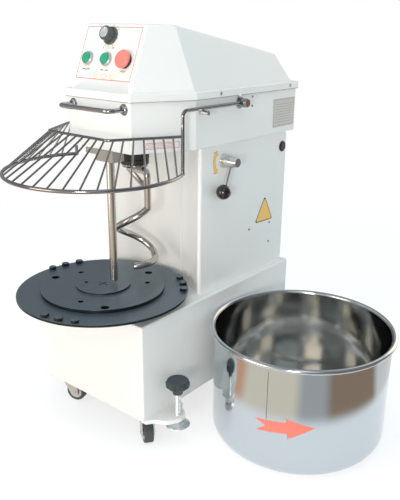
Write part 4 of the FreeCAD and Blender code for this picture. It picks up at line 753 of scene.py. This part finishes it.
class MIXER_OT_head(bpy.types.Operator):
    """Head tray and cover, handle, screws, rating plate and label"""

    bl_idname = "mixer.head"
    bl_label = "Head"

    def execute(self, context):
        finished("head_housing", "cream enamel")
        finished("head_cover", "cream enamel")
        finished("head_handle", "handle chrome with painted shade", 0, 50, False)
        finished("cover_screws", "zinc", 0.0004)
        self.lip_seal()
        self.rating_plate()
        self.label()
        self.screw_slots()
        return {"FINISHED"}

    def lip_seal(self):
        """A thin dark strip under the cover's lip, all round the tray: a painted shadow line."""
        outer = [(97, 1.8), (161.2, 136.3), (161.2, 538.2)]
        inner = [(94.4, 6), (157, 137.2), (157, 534)]
        outlines = [[(x * MM, y * MM) for x, y in half]
                    + [(-x * MM, y * MM) for x, y in reversed(half)] for half in (outer, inner)]
        flat_shape("lip_seal", outlines, 0.0009, at(0, 0, 761), UP, "dark lines and painted shadow", "head",
                   Vector((0, 1, 0)))

    def rating_plate(self):
        """A bare riveted plate with ruled rows, on the head's right side."""
        place = on_side(HEAD_SIDE, 478, 706)
        width, height, thick = 0.095, 0.069, 0.0008
        plate = flat_shape("rating_plate", [rounded_outline(rectangle(width, height), 0.002)],
                           thick, place, RIGHT, "rating aluminium", "head")
        soften(plate, 0.0002)
        on_plate = place + RIGHT * thick
        rows = frame_line(width - 0.005, height - 0.005, 0.0006)
        rows += [rectangle(width - 0.02, 0.0005, 0, height * 0.3 - 0.0062 * i)
                 for i in range(8)]
        flat_shape("rating_plate_rows", rows, sizes().film / 3, on_plate, RIGHT, "dark lines and painted shadow",
                   "head")
        joined([disc("rivet", 0.0016, 0.0008, on_plate + Vector((0, y, z)), RIGHT, "zinc",
                     "head", 16, 0.0004)
                for y, z in rectangle(width - 0.01, height - 0.01)], "rating_plate_rivets")

    def label(self):
        """A blank white sticker with a red border on the slanting front corner."""
        front_corner, side_corner = Vector((95, 5, 0)), Vector((158, 137, 0))
        along = (side_corner - front_corner).normalized()
        normal = Vector((along.y, -along.x, 0))
        middle = front_corner + along * 68.5
        place = at(middle.x, middle.y, 671.5)
        film = sizes().film
        flat_shape("corner_label", [rounded_outline(rectangle(0.081, 0.0145), 0.001)], film,
                   place, normal, "white film", "head")
        lines = frame_line(0.079, 0.0128, 0.001)
        lines += [rectangle(0.0007, 0.0102, x) for x in (-0.0265, 0.0265)]
        lines += [rectangle(0.048, 0.0007, 0, y) for y in (-0.0032, 0, 0.0032)]
        lines += round_line(-0.033, 0, 0.0042, 0.0033)
        flat_shape("corner_label_border", lines, film / 2, place + normal * film, normal,
                   "red ink", "head")

    def screw_slots(self):
        """Flat dark films for the slots in the lip's screws and in those beside the guard's hub: painted shade in
        the slots.
        """
        screw_head = 0.0018
        lip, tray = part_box("cover_screws")[1].x, HEAD_SIDE + screw_head
        joined([flat_shape("slot", [rectangle(wide, tall)], 0.0001, on_side(side, y, z), RIGHT,
                           "dark ink and painted shade", "head")
                for side, y, z, wide, tall in (
                    (lip, 216, 770, 0.0016, 0.0074), (lip, 496, 770, 0.0016, 0.0074),
                    (tray, 340, 754, 0.0034, 0.0034), (tray, 340, 733, 0.0034, 0.0034))],
               "cover_screw_slots")


# How far up the leaning facet the panel starts, and its rows above that.
PANEL_FOOT = 0.0225
MARKS_ROW = 0.0435 - PANEL_FOOT
ORNAMENT_ROW = 0.031 - PANEL_FOOT
TIMER_ROW = 0.116 - PANEL_FOOT
PANEL_THICK = 0.001


class MIXER_OT_panel(bpy.types.Operator):
    """Control panel with its print, the timer and the buttons"""

    bl_idname = "mixer.panel"
    bl_label = "Control panel"

    def execute(self, context):
        finished("control_panel", "panel film", 0.0003)
        finished("button_bezels", "satin bezel", 0.0004)
        finished("stop_button_collar", "black plastic", 0.0005)
        finished("fast_button", "start green", 0.0008)
        finished("slow_button", "start green", 0.0008)
        finished("stop_button", "stop red", 0.001)
        finished("timer_knob", "timer plastic with painted sheen", 0.0005)
        self.find_face()
        self.print_marks()
        self.ornament()
        self.dial()
        self.timer_cap()
        return {"FINISHED"}

    def find_face(self):
        """Lower edge, length, upward direction and outward normal of the panel's face."""
        low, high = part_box("control_panel")
        lean = math.radians(22.25)
        foot = PANEL_THICK * math.sin(lean)
        self.width = high.x - low.x
        self.length = (high.z - low.z - foot) / math.cos(lean)
        self.bottom = Vector(((low.x + high.x) / 2, low.y, low.z + foot))
        self.up = Vector((0, math.sin(lean), math.cos(lean)))
        self.normal = Vector((0, -math.cos(lean), math.sin(lean)))
        self.timer = centre("timer_knob").x - self.bottom.x

    def spot(self, x, height):
        """A place on the panel's face, from its lower edge's middle."""
        return self.bottom + Vector((x, 0, 0)) + self.up * height

    def printed(self, name, outlines, place, finish):
        """A thin print on the panel."""
        flat_shape(name, outlines, sizes().film / 3, place, self.normal, finish, "head", self.up)

    def sign(self, name, text, height, place):
        words(name, text, height, place, self.normal, "dark ink and painted shade", "head", self.up)

    def print_marks(self):
        """A red border, and a mark between dashes under each button."""
        border = frame_line(self.width - 0.001, self.length - 0.001, 0.0013)
        self.printed("panel_border", border, self.spot(0, self.length / 2), "red ink")
        dashes = []
        for x, text, reach in ((-0.056, "II", 4), (0, "I", 4), (0.056, "0", 2)):
            self.sign("mark_" + text, text, 0.0068, self.spot(x, MARKS_ROW))
            for side in (-1, 1):
                dashes += [rectangle(0.0014, 0.0024, x + side * (0.0042 + 0.0021 * i),
                                     0.0004 * (i % 2)) for i in range(reach)]
        self.printed("mark_lines", dashes, self.spot(0, MARKS_ROW), "dark ink and painted shade")

    def ornament(self):
        """A thin gilt line that ends in two curls, below the marks."""
        line = 0.0007
        outlines = [rectangle(0.0062, line, x, y) for x in (-0.0165, 0.0165)
                    for y in (-0.0034, 0, 0.0034)]
        for x, radius in ((-0.0265, 0.0064), (0.0265, 0.0064), (-0.026, 0.003), (0.026, 0.003)):
            outlines += round_line(x, 0, radius, radius - line)
        for half, tall in ((0.011, 0.0062), (0.009, 0.005)):
            outlines.append(rounded_outline([(half, 0), (0, tall), (-half, 0), (0, -tall)],
                                            0.001))
        self.printed("panel_ornament", outlines, self.spot(0.003, ORNAMENT_ROW), "gold ink")

    def dial(self):
        """Marks and numbers round the timer."""
        count = sizes().dial_marks
        outlines, numbers = [], []
        for i in range(count):
            angle = math.radians(-150 + 300 * i / (count - 1))
            outward = Vector((math.sin(angle), math.cos(angle)))
            side = Vector((outward.y, -outward.x)) * 0.0004
            near, far = outward * 0.0215, outward * 0.0245
            outlines.append([tuple(near + side), tuple(far + side), tuple(far - side),
                             tuple(near - side)])
            if i % 2 == 0 and outward.y < 0.6:
                numbers.append((5 * i, outward * 0.029))
        self.printed("dial_marks", outlines, self.spot(self.timer, TIMER_ROW), "dark ink and painted shade")
        for number, place in numbers:
            self.sign(f"dial_number_{number}", str(number), 0.0055,
                      self.spot(self.timer + place.x, TIMER_ROW + place.y))

    def timer_cap(self):
        """The knob's bright face with its pointer line."""
        knob_height, cap_thick = 0.0226, 0.0012
        face = (self.spot(self.timer, TIMER_ROW)
                + self.normal * (knob_height - PANEL_THICK))
        cap = disc("timer_cap", 0.011, cap_thick, face, self.normal, "bright zinc", "timer", 48,
                   0.0005)
        flat_shape("timer_pointer", [rectangle(0.0012, 0.009, 0, 0.0065)], 0.0002,
                   face + self.normal * cap_thick, self.normal, "white film", "timer", self.up)


class MIXER_OT_guard(bpy.types.Operator):
    """Wire guard, its hubs, bosses and stop pegs"""

    bl_idname = "mixer.guard"
    bl_label = "Guard"

    def execute(self, context):
        finished("guard_frame", "wire chrome with painted shade", 0, 50, False)
        finished("guard_spokes", "wire chrome with painted shade", 0, 50, False)
        finished("guard_bosses", "chrome", 0.0006)
        low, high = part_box("guard_bosses")
        caps, pins = [], []
        pin_inward, pin_rise = 0.0215, 0.0137
        for side, x in ((1, high.x), (-1, low.x)):
            hub = on_side(x, *GUARD_PIVOT)
            caps.append(disc("cap", 0.0088, 0.0006, hub, RIGHT * side, "hub brown", "head", 40,
                             0.0002))
            foot = hub - RIGHT * side * pin_inward + UP * pin_rise
            pins.append(disc("pin", 0.0028, 0.006, foot, UP, "white nylon", "head", 20, 0.0006))
        joined(caps, "guard_hub_caps")
        joined(pins, "guard_hub_pins")
        return {"FINISHED"}


class MIXER_OT_hook(bpy.types.Operator):
    """Spindle, spiral hook, breaker bar and its bracket"""

    bl_idname = "mixer.hook"
    bl_label = "Hook and breaker bar"

    def execute(self, context):
        finished("spindle_shaft", "black casting", 0.0006)
        finished("spiral_hook", "hook steel", 0, 45, False)
        finished("breaker_bar", "hook steel", 0, 45, False)
        finished("breaker_bracket", "bracket paint", 0.001)
        return {"FINISHED"}


class MIXER_OT_lever(bpy.types.Operator):
    """Lock lever with its ball grip"""

    bl_idname = "mixer.lever"
    bl_label = "Lock lever"

    def execute(self, context):
        finished("lever_arm", "chrome", 0.0005)
        finished("lever_ball", "black gloss", 0, 60, False)
        hub = on_side(COLUMN_SIDE + 0.04, *LEVER_HUB)
        disc("lever_cap", 0.0098, 0.0008, hub, RIGHT, "hub steel", "lock_lever", 40, 0.0003)
        return {"FINISHED"}


class MIXER_OT_casters(bpy.types.Operator):
    """Casters: forks, wheels, hub caps and swivel nuts"""

    bl_idname = "mixer.casters"
    bl_label = "Casters"

    def execute(self, context):
        for row in ("front_right", "front_left", "rear_right", "rear_left"):
            finished("caster_fork_" + row, "zinc", 0.0005)
            finished("caster_wheel_" + row, "castor tread", 0.0006)
            self.wheel_hub(row)
        return {"FINISHED"}

    def wheel_hub(self, row):
        """Bright hub discs on both faces of the wheel."""
        joint = next(j for j in frame["joints"] if j["name"] == "roll_" + row)
        axle, middle = Vector(joint["axis"]), Vector(joint["pos_m"])
        half_wheel = 0.0088
        joined([disc("hub", 0.0175, 0.0016, middle + side * half_wheel, side, "zinc",
                     "wheel_" + row, 40, 0.0005) for side in (-axle, axle)],
               "wheel_hubs_" + row)


class MIXER_OT_feet(bpy.types.Operator):
    """Levelling feet: pads, threaded screws and star knobs"""

    bl_idname = "mixer.feet"
    bl_label = "Levelling feet"

    def execute(self, context):
        for row in ("right", "left"):
            finished("foot_pad_" + row, "bright zinc", 0.0006)
            finished("foot_knob_" + row, "knob plastic", 0.0012, 40)
            self.threaded_screw(row)
        return {"FINISHED"}

    def threaded_screw(self, row):
        """A rolled thread, swept round the screw's axis from one tooth."""
        node = "foot_screw_" + row
        body = BODY_OF[node]
        low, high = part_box(node)
        length = high.z - low.z
        end = foot_of(node) + UP * low.z
        pitch, crest = sizes().thread_pitch, (high.x - low.x) / 2
        thread_depth = 0.0012
        root = crest - thread_depth
        tooth = bpy.data.meshes.new("tooth")
        tooth.from_pydata([(root, 0, 0), (crest, 0, pitch * 0.3), (crest, 0, pitch * 0.6),
                           (root, 0, pitch * 0.9), (root, 0, pitch)],
                          [(0, 1), (1, 2), (2, 3), (3, 4)], [])
        screw = linked("thread", tooth)
        modified(screw, "SCREW", axis="Z", screw_offset=pitch, steps=24, render_steps=24,
                 iterations=int(length / pitch) - 1, use_merge_vertices=True)
        edit_mesh(screw, ("remove_doubles", {"threshold": 2e-5}),
                  ("normals_make_consistent", {"inside": False}))
        screw.location = end
        placed(screw, "thread", "bright zinc", body)
        core = disc("core", root + 0.0001, length, end, UP, "bright zinc", body, 40, 0.0006)
        joined([core, screw], "foot_screw_threaded_" + row)
        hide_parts(node)
        smoothed(core, 30)


class MIXER_OT_bowl(bpy.types.Operator):
    """The loose bowl with its welded seam and its turning arrow"""

    bl_idname = "mixer.bowl"
    bl_label = "Bowl"

    def execute(self, context):
        finished("bowl", "bowl steel", 0, 40, False)
        self.arrow()
        self.seam()
        return {"FINISHED"}

    def wrapped(self, thing, radius, angle, height):
        """Bends a flat piece round the bowl's wall; x runs round it and y upwards."""
        for vertex in thing.data.vertices:
            x, y, out = vertex.co
            turn = angle + x / radius
            reach = radius + out
            vertex.co = BOWL_AXIS + Vector((math.cos(turn) * reach, math.sin(turn) * reach,
                                            height + y))

    def arrow(self):
        """A painted arrow with a forked tail."""
        outline = [(-0.0635, 0.008), (-0.0325, 0.0105), (0.006, 0.0135), (0.006, 0.0225),
                   (0.0655, 0.0055), (0.011, -0.0245), (0.0085, -0.0125), (-0.059, -0.0195),
                   (-0.0375, -0.004)]
        film = sizes().film
        arrow = sheet("bowl_arrow", [outline], film)
        edit_mesh(arrow, *(("bisect", {"plane_co": (0.009 * i + 0.0004, 0, 0),
                                       "plane_no": (1, 0, 0)}) for i in range(-7, 8)))
        self.wrapped(arrow, BOWL_RADIUS + 0.00005 + film / 2, math.radians(-68.1), 0.129)
        placed(arrow, "bowl_arrow", "arrow red", "loose_bowl")
        smoothed(arrow, 40)

    def seam(self):
        """The ground weld down the wall: a low, narrow strip."""
        deselect()
        bpy.ops.mesh.primitive_cube_add(size=1)
        strip = bpy.context.object
        strip.scale = (0.0014, 0.11, 0.0003)
        bpy.ops.object.transform_apply(location=False, rotation=False, scale=True)
        self.wrapped(strip, BOWL_RADIUS, math.radians(-78.5), 0.196)
        placed(strip, "bowl_seam", "dark lines and painted shadow", "loose_bowl")


# ---------------------------------------------------------------- stage

# Glow of the cards that polished steel reflects, which paints its reflections; 1 is white.
PALE_WALL = (0.75, 0.75, 0.75)
DIM_WALL = (0.4, 0.4, 0.4)
DARK_REFLECTED_BAND = (0.2, 0.2, 0.2)
WARM_REFLECTED_GLOW = (2.0, 1.7, 1.4)
DIM_CEILING = (0.3, 0.3, 0.3)
BRIGHT_REFLECTED_PANEL = (1.0, 1.0, 1.0)
PALE_REFLECTED_STRIP = (0.8, 0.8, 0.8)
TERRACOTTA_REFLECTED_STRIP = (0.8, 0.45, 0.3)
CREAM_REFLECTED_STRIP = (0.9, 0.8, 0.65)
GREY_REFLECTED_STRIP = (0.5, 0.5, 0.5)
BROWN_REFLECTED_STRIP = (0.35, 0.25, 0.18)


class MIXER_OT_stage(bpy.types.Operator):
    """Floor, sky, lamps, reflection cards and camera"""

    bl_idname = "mixer.stage"
    bl_label = "Stage"

    def execute(self, context):
        self.floor()
        self.sky()
        self.lamps()
        self.cards()
        self.camera(context)
        context.scene.view_settings.view_transform = "Standard"
        return {"FINISHED"}

    def floor(self):
        """A white floor: seen from afar it is plain white, near the set it keeps its shadow."""
        deselect()
        bpy.ops.mesh.primitive_circle_add(vertices=96, radius=60, fill_type="NGON",
                                          location=(0, 0, 0))
        floor = bpy.context.object
        floor.name = "floor"
        material, tree, shader = plain("floor white", (0.84, 0.87, 0.88), 0.9)
        shader.inputs["Specular IOR Level"].default_value = 0
        seen = self.seen(tree)
        soft = shader_node(tree, "BsdfDiffuse", {"Color": (0.42, 0.44, 0.45, 1)})
        glow = shader_node(tree, "Emission", {"Color": (0.69, 0.68, 0.68, 1)})
        shown = shader_node(tree, "AddShader", {0: soft.outputs[0], 1: glow.outputs[0]})
        near = mixed(tree, seen, shader.outputs["BSDF"], shown.outputs["Shader"])
        far = tree.nodes.new("ShaderNodeEmission").outputs["Emission"]
        share = math_node(tree, "MULTIPLY", past(tree, 0.9, 2.4), seen)
        tree.links.new(mixed(tree, share, near, far),
                       tree.nodes["Material Output"].inputs["Surface"])
        floor.data.materials.append(material)

    def seen(self, tree):
        """1 where the eye or a mirror looks, 0 for light that lands on other surfaces."""
        path = tree.nodes.new("ShaderNodeLightPath")
        either = math_node(tree, "MAXIMUM", path.outputs["Is Camera Ray"],
                           path.outputs["Is Glossy Ray"])
        return math_node(tree, "MAXIMUM", either, path.outputs["Is Transmission Ray"])

    def sky(self):
        """A cool even light on the set, and plain white where the eye or a mirror looks."""
        world = bpy.data.worlds.new("even sky")
        bpy.context.scene.world = world
        world.use_nodes = True
        tree = world.node_tree
        tree.nodes.clear()
        light = shader_node(tree, "Background", {"Color": (0.84, 0.96, 1.0, 1),
                                                 "Strength": studio().sky})
        white = shader_node(tree, "Background", {"Color": (1, 1, 1, 1)})
        end = tree.nodes.new("ShaderNodeOutputWorld")
        tree.links.new(mixed(tree, self.seen(tree), light.outputs[0], white.outputs[0]),
                       end.inputs["Surface"])

    def lamps(self):
        """Three lamps at the front and a cool one above; steel doesn't show the low one."""
        for name, place, aim, size, share, colour in (
            ("key_lamp", (-1.15, -3.2, 0.9), (-0.15, -0.1, 0.5), (1.7, 1.7), 0.72,
             (1.0, 0.82, 0.65)),
            ("side_lamp", (1.5, -2.95, 0.95), (-0.1, 0, 0.45), (0.7, 0.7), 1.2,
             (1.0, 0.93, 0.86)),
            ("top_lamp", (0.1, -0.6, 3.2), (-0.1, -0.1, 0.5), (2.4, 2.4), 1.0,
             (0.9, 0.97, 1.0)),
            ("low_lamp", (0.1, -3.1, 0.5), (-0.15, 0, 0.45), (1.0, 0.6), 0.3,
             (1.0, 0.9, 0.8)),
        ):
            data = bpy.data.lights.new(name, "AREA")
            data.shape = "RECTANGLE"
            data.size, data.size_y = size
            data.energy = studio().key_power * share
            data.color = colour
            lamp = linked(name, data)
            lamp.location = place
            away = Vector(aim) - Vector(place)
            lamp.rotation_euler = away.to_track_quat("-Z", "Y").to_euler()
            lamp.visible_glossy = name != "low_lamp"

    def cards(self):
        """Glowing cards that only reflections see, painted reflections of walls, ceiling panels and floor strips.
        """
        middle = Vector((0, 0, 0))
        wall, height = 4.2, 3.0
        self.card("reflection_card_wall", middle, (wall, -0.1), (wall, height), (
            (-120, DIM_WALL), (-90, WARM_REFLECTED_GLOW), (-50, PALE_WALL), (60, DARK_REFLECTED_BAND),
            (105, WARM_REFLECTED_GLOW), (180, DIM_WALL)))
        self.card("reflection_card_ceiling", middle, (0.02, height), (wall, height), (
            (-150, DIM_CEILING), (-120, BRIGHT_REFLECTED_PANEL), (-60, DIM_CEILING),
            (-30, BRIGHT_REFLECTED_PANEL), (55, DIM_CEILING), (90, BRIGHT_REFLECTED_PANEL), (180, DIM_CEILING)))
        # The floor strips ring the bowl's axis and paint coloured bands into its reflection.
        self.card("reflection_card_floor", BOWL_AXIS, (0.2, 0.001), (wall, 0.001), (
            (-145, PALE_REFLECTED_STRIP), (-120, TERRACOTTA_REFLECTED_STRIP), (-60, CREAM_REFLECTED_STRIP), (-30, GREY_REFLECTED_STRIP),
            (30, BROWN_REFLECTED_STRIP), (180, PALE_REFLECTED_STRIP)), clear_within=0.42)

    def card(self, name, middle, inner, outer, strips, clear_within=0.0):
        """A ring from one (radius, height) to another, in strips side by side.

        Each strip ends at its angle about the middle. Nearer than clear_within it is clear.
        """
        steps = 90
        points = []
        for i in range(steps):
            turn = math.tau * i / steps
            points += [(math.cos(turn) * reach, math.sin(turn) * reach, height)
                       for reach, height in (inner, outer)]
        faces = [(2 * i, 2 * i + 1, (2 * i + 3) % (2 * steps), (2 * i + 2) % (2 * steps))
                 for i in range(steps)]
        mesh = bpy.data.meshes.new(name)
        mesh.from_pydata(points, [], faces)
        card = linked(name, mesh)
        card.location = middle
        material = bpy.data.materials.new(name)
        material.use_nodes = True
        tree = material.node_tree
        tree.nodes.remove(tree.nodes["Principled BSDF"])
        place = shader_node(tree, "SeparateXYZ", {"Vector": object_place(tree)})
        angle = math_node(tree, "ARCTAN2", place.outputs["Y"], place.outputs["X"])
        turn = math_node(tree, "MULTIPLY_ADD", angle, 1 / math.tau, 0.5)
        # The strips glow, and only mirrors see them, so they paint reflections.
        glow = shader_node(tree, "Emission", {"Color": side_by_side(tree, turn, strips)})
        surface = glow.outputs["Emission"]
        if clear_within:
            soft = 0.035
            clear = tree.nodes.new("ShaderNodeBsdfTransparent").outputs["BSDF"]
            edge = past(tree, clear_within - soft, clear_within + soft)
            surface = mixed(tree, edge, clear, surface)
        tree.links.new(surface, tree.nodes["Material Output"].inputs["Surface"])
        mesh.materials.append(material)
        card.visible_camera = False
        card.visible_diffuse = False
        card.visible_shadow = False

    def camera(self, context):
        """Stands at the front right, a little above the head."""
        data = bpy.data.cameras.new("camera")
        data.sensor_width = 36
        data.lens = studio().lens
        data.shift_x = -0.0126
        data.shift_y = 0.0017
        data.clip_end = 200
        camera = linked("camera", data)
        yaw, pitch, roll = (math.radians(a) for a in (38.748, -19.372, 0.82))
        turn = (Matrix.Rotation(yaw, 4, "Z") @ Matrix.Rotation(math.pi / 2 + pitch, 4, "X")
                @ Matrix.Rotation(roll, 4, "Z"))
        camera.matrix_world = Matrix.Translation(at(1050.3, -934.0, 918.3)) @ turn
        context.scene.camera = camera


class MIXER_PT_panel(bpy.types.Panel):
    bl_label = "Spiral mixer"
    bl_idname = "MIXER_PT_panel"
    bl_space_type = "VIEW_3D"
    bl_region_type = "UI"
    bl_category = "Mixer"

    def draw(self, context):
        layout = self.layout
        for group in (colours(), sizes(), studio()):
            box = layout.box()
            for name in group.bl_rna.properties.keys():
                if name not in ("rna_type", "name"):
                    box.prop(group, name)
        for step in STEPS:
            layout.operator(step.bl_idname)


STEPS = (
    MIXER_OT_base, MIXER_OT_column, MIXER_OT_turntable, MIXER_OT_drives, MIXER_OT_head,
    MIXER_OT_panel, MIXER_OT_guard, MIXER_OT_hook, MIXER_OT_lever, MIXER_OT_casters,
    MIXER_OT_feet, MIXER_OT_bowl, MIXER_OT_stage,
)
GROUPS = (
    ("mixer_colours", MixerColours), ("mixer_sizes", MixerSizes), ("mixer_studio", MixerStudio),
)


def register():
    for name, group in GROUPS:
        bpy.utils.register_class(group)
        setattr(bpy.types.Scene, name, PointerProperty(type=group))
    for item in STEPS + (MIXER_PT_panel,):
        bpy.utils.register_class(item)


def unregister():
    for item in reversed(STEPS + (MIXER_PT_panel,)):
        bpy.utils.unregister_class(item)
    for name, group in reversed(GROUPS):
        delattr(bpy.types.Scene, name)
        bpy.utils.unregister_class(group)


def main():
    register()
    make_finishes()
    for step in STEPS:
        family, action = step.bl_idname.split(".")
        getattr(getattr(bpy.ops, family), action)()


if __name__ == "__main__":
    main()
